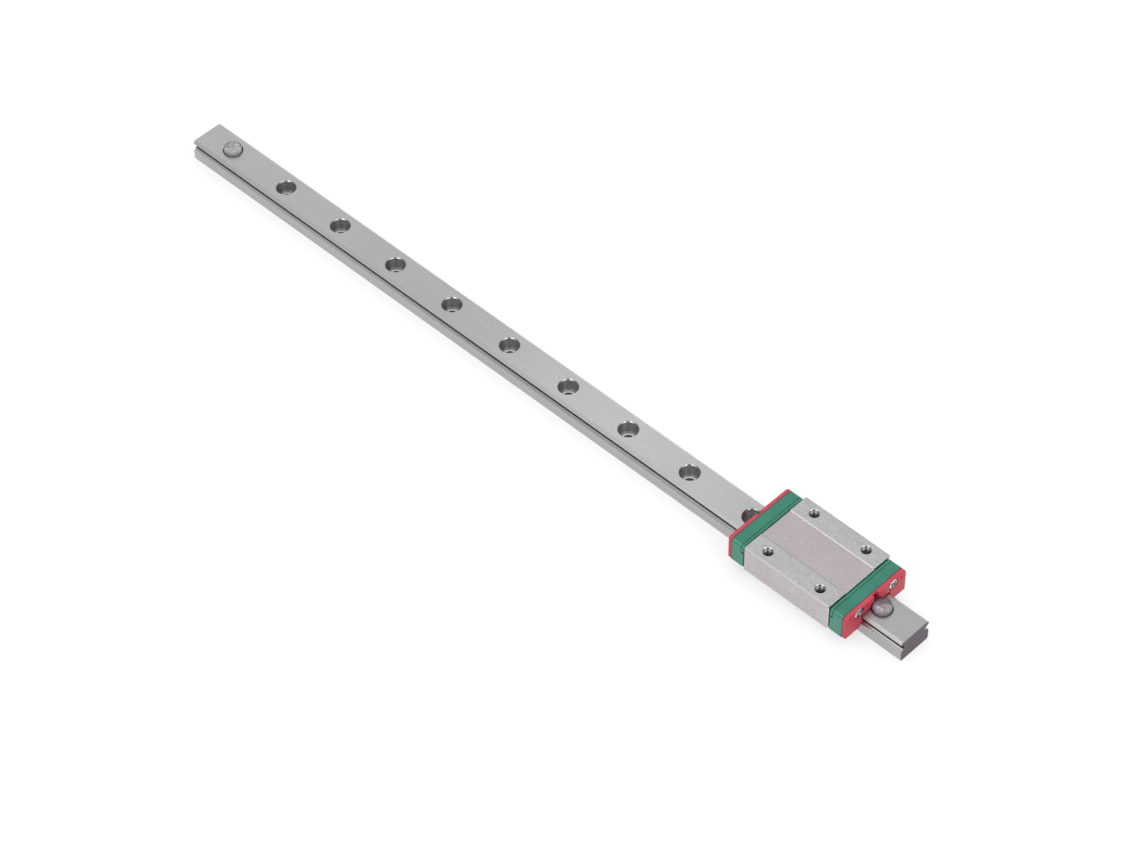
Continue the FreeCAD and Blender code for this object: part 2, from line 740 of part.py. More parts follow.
# Retaining wires: each lies in the rail's slot behind its balls and hooks outward into both end caps
def make_wire(label, turned):
    body = new_body(label)
    path = new_sketch(body, "%s_path" % label, "XY_Plane")
    hook_x = cap_face + size("wire_hook_inset")
    bend = size("wire_bend")
    runs = [
        ((-hook_x, wire_hook_end), (-hook_x, wire_side + bend)),
        ((-(hook_x - bend), wire_side), (hook_x - bend, wire_side)),
        ((hook_x, wire_side + bend), (hook_x, wire_hook_end)),
    ]
    lines = []
    for start, end in runs:
        spots = [Vector(across.value, up.value, 0) for across, up in (start, end)]
        line = path.addGeometry(Part.LineSegment(*spots))
        pin(path, line, 1, *start)
        pin(path, line, 2, *end)
        lines.append(line)
    turns = [(-(hook_x - bend), lines[0], lines[1]), (hook_x - bend, lines[1], lines[2])]
    for centre, before, after in turns:
        middle = Vector(centre.value, wire_side.value + bend.value, 0)
        start = path.Geometry[before].EndPoint
        end = path.Geometry[after].StartPoint
        arc, near, far = add_arc(path, middle, start, end)
        path.addConstraint(Sketcher.Constraint("Coincident", arc, near, before, 2))
        path.addConstraint(Sketcher.Constraint("Coincident", arc, far, after, 1))
        pin(path, arc, 3, centre)
    round_section = new_sketch(body, "%s_section" % label, "XZ_Plane", -wire_hook_end)
    circle(round_section, -hook_x, ZERO, wire_radius)
    doc.recompute()
    pipe = body.newObject("PartDesign::AdditivePipe", "%s_pipe" % label)
    pipe.Profile = round_section
    pipe.Spine = (path, [])
    doc.recompute()
    place(body, carriage_x, turned, z=ball_height)
    return body


wire_hook_end = rail_half + size("cap_rail_gap") + size("wire_hook_length") - wire_radius
wire_socket_end = wire_hook_end + size("ball_clearance")

parts = [
    make_rail(),
    make_plug("stop_plug_far", -last_bolt, size("plug_far_proud")),
    make_plug("stop_plug_near", last_bolt, size("plug_near_proud")),
    make_block(),
]
for end, turned in (("front", False), ("rear", True)):
    parts.append(make_end_cap("end_cap_%s" % end, cap_face, turned))
    parts.append(make_end_seal("end_seal_%s" % end, seal_face, turned))
    for hand, side in (("left", size("screw_side")), ("right", -size("screw_side"))):
        parts.append(make_cap_screw("cap_screw_%s_%s" % (end, hand), turned, side))
for hand, side in (("left", ball_side), ("right", -ball_side)):
    parts.append(make_ball_row("balls_%s" % hand, side))
    parts.append(make_wire("ball_wire_%s" % hand, side is not ball_side))
doc.recompute()

# Nothing is written unless every object is sound and every cut removed material
for thing in doc.Objects:
    if "Invalid" in thing.State or "Error" in thing.State:
        raise RuntimeError("%s did not build" % thing.Label)
    if thing.TypeId in ("PartDesign::Pocket", "PartDesign::Groove", "PartDesign::Hole"):
        if thing.Shape.Volume > thing.BaseFeature.Shape.Volume - 0.0001:
            raise RuntimeError("%s cuts nothing" % thing.Label)
for part in parts:
    if part.Shape.isNull() or not part.Shape.isValid():
        raise RuntimeError("%s has no sound shape" % part.Label)

os.makedirs("parts", exist_ok=True)
for part in parts:
    part.Shape.exportStep("parts/%s.step" % part.Label)
    box = part.Shape.BoundBox
    print("%-24s solids %2d  volume %9.2f  x %8.2f %8.2f  y %7.2f %7.2f  z %6.2f %6.2f" % (
        part.Label, len(part.Shape.Solids), part.Shape.Volume,
        box.XMin, box.XMax, box.YMin, box.YMax, box.ZMin, box.ZMax))
print("carriage centre at x = %.3f" % carriage_x.value)
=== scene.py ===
import math

import bmesh
import bpy
from bpy.props import FloatProperty, FloatVectorProperty, IntProperty, PointerProperty
from mathutils import Matrix, Vector


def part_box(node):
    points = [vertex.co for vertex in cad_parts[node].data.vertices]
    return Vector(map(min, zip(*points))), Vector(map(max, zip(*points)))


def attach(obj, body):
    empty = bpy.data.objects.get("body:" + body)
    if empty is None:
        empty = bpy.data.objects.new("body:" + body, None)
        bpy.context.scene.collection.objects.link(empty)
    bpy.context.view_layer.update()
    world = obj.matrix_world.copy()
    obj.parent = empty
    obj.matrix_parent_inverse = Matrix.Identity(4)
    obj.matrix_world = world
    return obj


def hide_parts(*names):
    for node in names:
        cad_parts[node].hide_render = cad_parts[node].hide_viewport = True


bl_info = {
    "name": "Linear Guide Finish",
    "version": (1, 0, 0),
    "blender": (4, 5, 0),
    "location": "View3D > Sidebar > Linear Guide",
    "description": "Finishes and fine details of a miniature profile rail guide, and its studio",
    "category": "Object",
}

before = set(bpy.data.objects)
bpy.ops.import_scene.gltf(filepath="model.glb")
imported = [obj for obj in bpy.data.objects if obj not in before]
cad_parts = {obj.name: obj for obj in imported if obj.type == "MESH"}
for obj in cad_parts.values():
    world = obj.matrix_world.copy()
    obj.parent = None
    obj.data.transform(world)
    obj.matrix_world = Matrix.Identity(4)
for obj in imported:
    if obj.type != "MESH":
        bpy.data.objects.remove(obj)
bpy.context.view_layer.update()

MM = 0.001
MERGE_DISTANCE = 0.000001
SHARP_ANGLE = math.radians(35)
WHITE = (1, 1, 1, 1)
# Widths over which a mask changes: hardly seen, and soft
HAIR = 0.01 * MM
SOFT = 0.1 * MM

RAIL_LOW, RAIL_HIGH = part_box("rail")
BLOCK_LOW, BLOCK_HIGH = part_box("carriage_block")
CARRIAGE_X = (BLOCK_LOW.x + BLOCK_HIGH.x) / 2
PLUG_NODES = ("stop_plug_far", "stop_plug_near")
PLUG_LOW, PLUG_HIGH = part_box("stop_plug_near")
PLUG_X = (PLUG_LOW.x + PLUG_HIGH.x) / 2
SCREW_NODES = [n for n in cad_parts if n.startswith("cap_screw")]
SCREW_LOW, SCREW_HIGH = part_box("cap_screw_front_left")
SCREW_SIDE = (SCREW_LOW.y + SCREW_HIGH.y) / 2
SCREW_HEIGHT = (SCREW_LOW.z + SCREW_HIGH.z) / 2
SCREW_RADIUS = (SCREW_HIGH.z - SCREW_LOW.z) / 2
CROSS_TURN_LEFT, CROSS_TURN_RIGHT = math.radians(48), math.radians(38)

LEFT_LIGHT_PLACE = (0.05, -1.1, 0.75)
RIGHT_LIGHT_PLACE = (1.15, 0.1, 0.75)
FLOOR_HALF_WIDTH = 4

# Tones, which multiply a colour. A run is a start and then changes of (amount, from, to):
# along the rail, or with how far the wall of a bolt hole looks aslant. The runs are painted
# light: the rail's top, crown and race lit more or less along its length, painted reflections
# on the bolt holes' walls, and painted glints on their rims.
TOP_LIGHT_RUN = (0.975, (-0.045, -110 * MM, -55 * MM), (0.175, -45 * MM, 20 * MM),
           (-0.22, 45 * MM, 145 * MM))
CROWN_HIGHLIGHT_RUN = (1.11, (-0.1, -60 * MM, 80 * MM), (-0.15, 100 * MM, 142 * MM))
RACE_LIGHT_RUN = (1.09, (-0.15, -80 * MM, 0), (0.2, 112 * MM, 135 * MM))
BORE_REFLECTION_RUN = (1.26, (0.32, -0.7, -0.35), (-0.26, -0.3, -0.08), (0.38, 0.08, 0.28),
            (-0.85, 0.3, 0.72))
RIM_GLINT_RUN = (0.45, (0.5, 0.04, 0.14), (-0.5, 0.2, 0.34))
# A fixed direction along which the bolt holes' painted reflections and glints are laid
ASLANT = (0.71, 0.71, 0)
# Painted shade: the rail's sides are drawn darker, as less lit
RAIL_SIDE_SHADE = 0.875
# Painted shade in the rail's wire slot and down its through holes
SLOT_SHADE = 0.1
THROUGH_SHADE = 0.25
# Painted highlight at a mounting hole's mouth and painted shade down in it
HOLE_MOUTH_HIGHLIGHT = 0.8
HOLE_DEEP_SHADE = 0.15
# Painted shade along the blasted strip's near border, a painted highlight along its far one
BORDER_NEAR_SHADE, BORDER_FAR_HIGHLIGHT = 0.5, 1.9
# Painted shade in the joint of cap and seal
JOINT_SHADE = 0.35
# Painted shade in the lubrication hole, and the notch beside it painted lighter
LUBE_HOLE_SHADE = 0.2
LUBE_NOTCH_LIGHT = 1.15
# Painted shade round the screw heads on the caps and seals
SCREW_SEAT_SHADE = 0.45
# Painted shade down in the screws' cross recesses
SCREW_RECESS_SHADE = 0.06
PLUG_STROKE_TONE = 2
# Painted light on the plugs: shade at the foot, the rim's front lighter, shade at its rear and
# behind the near plug
PLUG_FOOT_SHADE = 0.5
PLUG_FRONT_LIGHT = 1.5
PLUG_REAR_FAR_SHADE, PLUG_REAR_NEAR_SHADE = 0.52, 0.8
PLUG_BEHIND_SHADE = 0.5

# Relief that is only shaded: its depths, and the slope of the bolt heads' seats
GROUND_RELIEF = 0.006 * MM
BLOCK_RELIEF = 0.008 * MM
MOULD_RELIEF = 0.006 * MM
PLUG_RELIEF = 0.03 * MM
BRIGHT_RELIEF = 0.002 * MM
SEAT_SLOPE = 0.25


def srgb(red, green, blue):
    """A colour given as the eye sees it, 0 to 255, as the linear one that Blender works in."""
    linear = []
    for part in (red, green, blue):
        level = part / 255
        linear.append(level / 12.92 if level <= 0.04045 else ((level + 0.055) / 1.055) ** 2.4)
    return linear


def colour(name, description, red, green, blue):
    return FloatVectorProperty(name=name, description=description, subtype="COLOR", size=4,
                               min=0, max=1, default=(*srgb(red, green, blue), 1))


def length(name, description, millimetres):
    return FloatProperty(name=name, description=description, default=millimetres * MM, min=0,
                         subtype="DISTANCE", unit="LENGTH", precision=5)


def share(name, description, default):
    return FloatProperty(name=name, description=description, default=default, min=0, max=1,
                         subtype="FACTOR")


def matte(name, surface, default):
    return share("%s roughness" % name, "Roughness of %s" % surface, default)


def rotation(name, description, degrees):
    return FloatProperty(name=name, description=description, default=math.radians(degrees),
                         subtype="ANGLE", unit="ROTATION")


def power(name, description, default):
    return FloatProperty(name=name, description=description, default=default, min=0,
                         subtype="POWER", unit="POWER")


class SteelLook(bpy.types.PropertyGroup):
    """Colours and finish of the rail and the block"""

    rail_ground: colour("Rail", "Ground faces of the rail", 190, 190, 191)
    rail_race: colour("Rail race", "Ball race in the rail's sides", 180, 179, 179)
    rail_end: colour("Rail end", "Sawn end faces of the rail", 112, 104, 111)
    bore: colour("Bolt bore", "Turned walls of the bolt holes", 174, 174, 175)
    # Painted highlight: the bolt heads' seats are made near white for the light on them down the
    # holes
    bolt_seat: colour("Bolt seat", "Bright seats of the bolt heads", 232, 232, 233)
    # Painted highlight: edges, the rail's crown and the bolt holes' rims get this lighter colour
    # for the light they catch
    edge_highlight: colour("Bright edge", "Freshly broken edges of the steel", 210, 207, 209)
    block_pad: colour("Block pads", "Ground mounting pads of the block", 193, 193, 195)
    block_side: colour("Block sides", "Ground sides of the block", 193, 187, 191)
    block_strip: colour("Block strip", "Blasted strip between the pads", 204, 196, 197)
    block_hole: colour("Mounting hole", "Walls of the mounting holes", 161, 163, 161)
    roughness: matte("Block", "the block's ground faces", 0.42)
    rail_roughness: matte("Rail", "the rail's ground faces", 0.35)
    blasted_roughness: matte("Blasted", "the blasted strip", 0.62)
    hole_roughness: matte("Hole", "the mounting holes' walls", 0.2)
    thread_roughness: matte("Thread", "the mounting threads", 0.25)
    rim_roughness: matte("Rim", "the bolt holes' rims", 0.2)
    bore_roughness: matte("Bore", "the bolt holes' walls", 0.45)
    seat_roughness: matte("Seat", "the bolt heads' seats", 0.3)
    sawn_roughness: matte("Sawn", "the rail's ends", 0.55)


class PlasticLook(bpy.types.PropertyGroup):
    """Colours and finish of the moulded pieces"""

    cap: colour("End cap", "Moulded end caps", 50, 134, 112)
    seal: colour("End seal", "Rubber end seals", 214, 70, 88)
    # Painted shade and reflection: the near plug is coloured darker and pinker than the far one
    plug_near: colour("Near stop plug", "Soft stop plug beside the carriage", 139, 131, 137)
    plug_far: colour("Far stop plug", "Soft stop plug at the rail's far end", 162, 162, 163)
    cap_roughness: matte("Cap", "the end caps", 0.42)
    seal_roughness: matte("Seal", "the end seals", 0.48)
    plug_roughness: matte("Plug", "the stop plugs", 0.5)


class SmallPartLook(bpy.types.PropertyGroup):
    """Colours of the screws, balls and wires"""

    screw: colour("Screw", "Bright plated cap screws", 226, 226, 224)
    ball: colour("Ball", "Polished balls", 214, 214, 216)
    wire: colour("Wire", "Drawn retaining wire", 190, 188, 184)
    screw_roughness: matte("Screw", "the plating", 0.22)
    ball_roughness: matte("Ball", "the balls", 0.08)
    wire_roughness: matte("Wire", "the wire", 0.3)


class DetailSizes(bpy.types.PropertyGroup):
    """Sizes of the details that are modelled here"""

    bolt_pitch: length("Bolt pitch", "Distance between the rail's bolt holes", 25)
    bolt_offset: length("First bolt", "From the rail's middle to the nearest bolt hole", 12.5)
    bolt_radius: length("Counterbore radius", "Radius of the rail's counterbores", 3)
    bolt_rim: length("Counterbore rim", "Width of the broken edge round a counterbore", 0.3)
    bolt_through: length("Through hole radius", "Radius of the rail's through holes", 1.75)
    bolt_seat_radius: length("Seat radius", "Outer radius of a bolt head's seat", 2.55)
    crown_reach: length("Crown reach", "From the rail's middle to its bright edge", 4.8)
    race_low: length("Race foot", "Height of the race's lower lip", 4.1)
    race_high: length("Race top", "Height of the race's upper lip", 6.7)
    slot_reach: length("Wire slot mouth", "From the rail's middle to its wire slot", 5.1)
    mount_side: length("Mounting hole side", "From the block's middle to a mounting hole", 10)
    mount_radius: length("Mounting hole radius", "Radius at the root of the thread", 1.5)
    thread_pitch: length("Thread pitch", "Rise of the mounting thread in one turn", 0.5)
    thread_height: length("Thread height", "Height of the mounting thread's ridge", 0.2)
    thread_turns: IntProperty(name="Thread turns", description="Turns of each mounting thread",
                              default=6, min=1)
    strip_half: length("Strip half width", "Half the width of the blasted strip", 6.3)
    seal_joint: length("Seal joint", "From the carriage's middle to the joint of cap and seal",
                       21.3)
    lube_height: length("Lubrication hole", "Height of the lubrication hole's axis", 10.4)
    lube_radius: length("Lubrication hole radius", "Radius of the lubrication hole", 0.7)
    screw_shank: length("Screw shank", "Radius of a cap screw's shank", 1)
    screw_head: length("Screw head", "Height of a cap screw's head", 1.55)
    screw_dome: length("Screw dome", "How far the screw's face falls to its rim", 0.3)
    cross_length: length("Cross length", "Length of the cross recess across the screw", 2.55)
    cross_width: length("Cross width", "Width of one wing of the cross recess", 0.9)
    cross_depth: length("Cross depth", "Depth of the cross recess", 1.1)
    plug_stem: length("Plug stem", "Radius of a stop plug's stem", 1.7)
    plug_ledge: length("Plug ledge", "Depth of the button's underside below the rail", 4.45)
    plug_soft: length("Plug shoulder", "Rounding of a stop plug's shoulder", 0.6)
    plug_crown: length("Plug crown", "Rise of a stop plug's face", 0.1)
    plug_mark: length("Plug marks", "Depth of the pressed marks on a stop plug", 0.16)


class StudioSettings(bpy.types.PropertyGroup):
    """Camera, lights and floor"""

    aim: FloatVectorProperty(name="Aim", description="Point in the middle of the picture", size=3,
                             default=(21.87 * MM, -8.98 * MM, 4 * MM), subtype="TRANSLATION",
                             unit="LENGTH")
    distance: length("Distance", "From the camera to the aim", 1097.867)
    azimuth: rotation("Azimuth", "Camera's turn round the guide", 44.851)
    elevation: rotation("Elevation", "Camera's height above the horizon", 47.968)
    roll: rotation("Roll", "Camera's lean to its right", 0.969)
    lens: FloatProperty(name="Lens", description="Focal length on a 36 mm wide sensor",
                        default=115.498, min=1, subtype="DISTANCE_CAMERA", unit="CAMERA")
    surround: share("Surround", "Brightness of the studio's walls round the guide", 0.1)
    left_wall: share("Left wall", "How much brighter the wall at the rail's far end is", 0.22)
    right_wall: share("Right wall", "How much brighter the wall behind the rail is", 0.2)
    ceiling: share("Ceiling", "How much brighter the ceiling is", 0.9)
    floor_tone: share("Floor", "Brightness of the floor's own colour", 0.5)
    floor_lift: share("Floor lift", "Light the floor shows to the camera, and in reflections", 0.62)
    left_power: power("Left light", "Power of the soft box left of the camera", 3.6)
    right_power: power("Right light", "Power of the soft box right of the camera", 3.7)
    light_width: length("Light width", "Width of each soft box", 900)


PROPERTY_GROUPS = {
    "guide_steel": SteelLook,
    "guide_plastic": PlasticLook,
    "guide_small": SmallPartLook,
    "guide_detail": DetailSizes,
    "guide_studio": StudioSettings,
}


# Short ways to lay shader nodes
def put(tree, kind, inputs=None, **settings):
    """Add a node, set its own settings, and link or fill its inputs."""
    node = tree.nodes.new(kind)
    for name, value in settings.items():
        setattr(node, name, value)
    for key, value in (inputs or {}).items():
        if isinstance(value, bpy.types.NodeSocket):
            tree.links.new(value, node.inputs[key])
        else:
            node.inputs[key].default_value = value
    return node


def calculate(tree, operation, *values):
    return put(tree, "ShaderNodeMath", dict(enumerate(values)), operation=operation).outputs[0]


def product(tree, *values):
    """All the values multiplied: with masks, 1 where all of them are."""
    result = values[0]
    for value in values[1:]:
        result = calculate(tree, "MULTIPLY", result, value)
    return result


def minus(tree, first, second):
    return calculate(tree, "SUBTRACT", first, second)


def unsigned(tree, value):
    return calculate(tree, "ABSOLUTE", value)


def gap(tree, first, second):
    """How far apart two values are."""
    return unsigned(tree, minus(tree, first, second))


def step_up(tree, value, start, end):
    """0 below start and 1 above end, or the other way round where start is the higher."""
    inputs = {"Value": value, "From Min": start, "From Max": end}
    return put(tree, "ShaderNodeMapRange", inputs, interpolation_type="SMOOTHSTEP").outputs[0]


def mix_colour(tree, factor, first, second, blend="MIX"):
    inputs = {0: factor, 6: first, 7: second}
    return put(tree, "ShaderNodeMix", inputs, data_type="RGBA", blend_type=blend).outputs[2]


def mix_value(tree, factor, first, second):
    inputs = {0: factor, 2: first, 3: second}
    return put(tree, "ShaderNodeMix", inputs, data_type="FLOAT").outputs[0]


def split(tree, vector):
    return put(tree, "ShaderNodeSeparateXYZ", {0: vector}).outputs


def joined(tree, x, y, z):
    return put(tree, "ShaderNodeCombineXYZ", {0: x, 1: y, 2: z}).outputs[0]


def vector_math(tree, operation, *vectors):
    """The outputs of a vector operation: "Vector" and "Value"."""
    inputs = dict(enumerate(vectors))
    return put(tree, "ShaderNodeVectorMath", inputs, operation=operation).outputs


def noise(tree, vector, scale, detail, roughness=0.5, distortion=0):
    inputs = {"Vector": vector, "Scale": scale, "Detail": detail, "Roughness": roughness,
              "Distortion": distortion}
    return put(tree, "ShaderNodeTexNoise", inputs).outputs[0]


def swing(tree, field, contrast):
    """A tone that swings about 1 as a noise does about its middle."""
    return calculate(tree, "MULTIPLY_ADD", minus(tree, field, 0.5), contrast, 1)


def new_group(name, **inputs):
    """Start a node group. Gives its tree and what comes in: numbers, and a vector for None."""
    tree = bpy.data.node_groups.new(name, "ShaderNodeTree")
    for label, default in inputs.items():
        kind = "NodeSocketVector" if default is None else "NodeSocketFloat"
        socket = tree.interface.new_socket(name=label, in_out="INPUT", socket_type=kind)
        if default is not None:
            socket.default_value = default
    return tree, tree.nodes.new("NodeGroupInput").outputs


def use_group(tree, name, **inputs):
    """The outputs of a shared node group, which is made the first time that it is asked for."""
    group = bpy.data.node_groups.get(name) or NODE_GROUPS[name]()
    named = {label.capitalize(): value for label, value in inputs.items()}
    return put(tree, "ShaderNodeGroup", named, node_tree=group).outputs


def results(tree, **values):
    """Give a node group its outputs, with these values."""
    for label in values:
        tree.interface.new_socket(name=label.capitalize(), in_out="OUTPUT",
                                  socket_type="NodeSocketFloat")
    group_output = tree.nodes.new("NodeGroupOutput")
    for label, value in values.items():
        tree.links.new(value, group_output.inputs[label.capitalize()])
    return tree


# Node groups that several materials share
def grinding_lines():
    """Fine lines that run along X: a tone to multiply a colour by, and a height."""
    tree, given = new_group("lines", Vector=None, Run=25, Cross=4000, Contrast=0.1)
    scale = joined(tree, given["Run"], given["Cross"], given["Cross"])
    stretched = vector_math(tree, "MULTIPLY", given["Vector"], scale)[0]
    lines = noise(tree, stretched, scale=1, detail=4, roughness=0.65)
    return results(tree, tone=swing(tree, lines, given["Contrast"]), height=lines)


def fine_grain():
    """Even grain, as of blasted metal or moulded plastic, with a few lighter specks."""
    tree, given = new_group("grain", Vector=None, Scale=3000, Contrast=0.1, Specks=0.1)
    grain = noise(tree, given["Vector"], given["Scale"], detail=3, roughness=0.6)
    speck_scale = calculate(tree, "MULTIPLY", given["Scale"], 0.35)
    specks = step_up(tree, noise(tree, given["Vector"], speck_scale, detail=1), 0.66, 0.74)
    even = swing(tree, grain, given["Contrast"])
    tone = calculate(tree, "MULTIPLY_ADD", specks, given["Specks"], even)
    return results(tree, tone=tone, height=grain)


def handling_marks():
    """Wide soft patches, as oil and handling leave them: a tone to multiply by."""
    tree, given = new_group("handling", Vector=None, Scale=60, Contrast=0.1)
    patches = noise(tree, given["Vector"], given["Scale"], detail=2)
    return results(tree, tone=swing(tree, patches, given["Contrast"]))


def hole_distance():
    """Distance to the nearest hole's axis, in a row along X or in two rows beside Y 0."""
    tree, given = new_group("holes", Vector=None, First=0, Pitch=0.02, Side=0)
    x, y, _ = split(tree, given["Vector"])
    half = calculate(tree, "MULTIPLY", given["Pitch"], 0.5)
    back = calculate(tree, "MULTIPLY", given["Pitch"], -0.5)
    along = calculate(tree, "WRAP", minus(tree, x, given["First"]), half, back)
    across = minus(tree, unsigned(tree, y), given["Side"])
    flat = joined(tree, along, across, 0)
    return results(tree, distance=vector_math(tree, "LENGTH", flat)["Value"])


def turned_rings():
    """Tool rings round an upright bore: a tone to multiply by, and a height."""
    tree, given = new_group("rings", Vector=None, Scale=5000, Contrast=0.3)
    scale = joined(tree, 120, 120, given["Scale"])
    stretched = vector_math(tree, "MULTIPLY", given["Vector"], scale)[0]
    rings = noise(tree, stretched, scale=1, detail=2)
    return results(tree, tone=swing(tree, rings, given["Contrast"]), height=rings)


def face_masks():
    """Which way a face looks: up, to a side, along the rail, or between these as an edge does."""
    tree, given = new_group("faces", Normal=None)
    rise = split(tree, given["Normal"])[2]
    x, y, z = [unsigned(tree, part) for part in split(tree, given["Normal"])[:3]]
    largest = calculate(tree, "MAXIMUM", calculate(tree, "MAXIMUM", x, y), z)
    return results(tree, up=step_up(tree, rise, 0.9, 0.95), side=step_up(tree, y, 0.9, 0.95),
                   end=step_up(tree, x, 0.9, 0.95), edge=step_up(tree, largest, 0.9, 0.82))


def squiggles():
    """Short curled strokes, as pressed into a soft surface: 1 on a stroke, 0 beside it."""
    tree, given = new_group("squiggles", Vector=None, Scale=1000, Width=0.04)
    field = noise(tree, given["Vector"], given["Scale"], detail=1, roughness=0.4, distortion=0.6)
    return results(tree, mask=step_up(tree, gap(tree, field, 0.5), given["Width"], 0))


NODE_GROUPS = {
    "lines": grinding_lines,
    "grain": fine_grain,
    "handling": handling_marks,
    "holes": hole_distance,
    "rings": turned_rings,
    "faces": face_masks,
    "squiggles": squiggles,
}


# Materials
def new_material(name, **sockets):
    """A new material. Gives its tree and Principled shader, and its Object place and normal too."""
    material = bpy.data.materials.new(name)
    material.use_nodes = True
    tree = material.node_tree
    shader = tree.nodes["Principled BSDF"]
    for label, value in sockets.items():
        shader.inputs[label.replace("_", " ").title().replace("Ior", "IOR")].default_value = value
    texture = tree.nodes.new("ShaderNodeTexCoord")
    return material, tree, shader, texture.outputs["Object"], texture.outputs["Normal"]


def toned(tree, base, *tones):
    """A colour multiplied by each of these tones."""
    for tone in tones:
        base = mix_colour(tree, 1, base, tone, "MULTIPLY")
    return base


def toned_where(tree, base, *places):
    """The colour multiplied by the tone of each (mask, tone), where its mask is 1."""
    for mask, tone in places:
        base = toned(tree, base, mix_value(tree, mask, 1, tone))
    return base


def layered(mix, tree, base, *layers):
    """The base with each (mask, layer) mixed over it in turn."""
    for mask, layer in layers:
        base = mix(tree, mask, base, layer)
    return base


def ramped(tree, along, start, *steps):
    """A tone that starts at `start` and changes by each (amount, from, to) on its way."""
    tone = start
    for amount, first, last in steps:
        tone = calculate(tree, "MULTIPLY_ADD", step_up(tree, along, first, last), amount, tone)
    return tone


def feed(tree, shader, **values):
    for label, value in values.items():
        tree.links.new(value, shader.inputs[label.replace("_", " ").title()])


def raise_surface(tree, shader, height, distance):
    bump = put(tree, "ShaderNodeBump", {"Strength": 1, "Distance": distance, "Height": height})
    feed(tree, shader, normal=bump.outputs[0])


def bolt_distance(tree, place, sizes):
    """Distance to the axis of the rail's nearest bolt hole."""
    return use_group(tree, "holes", vector=place, first=sizes.bolt_offset,
                     pitch=sizes.bolt_pitch)[0]


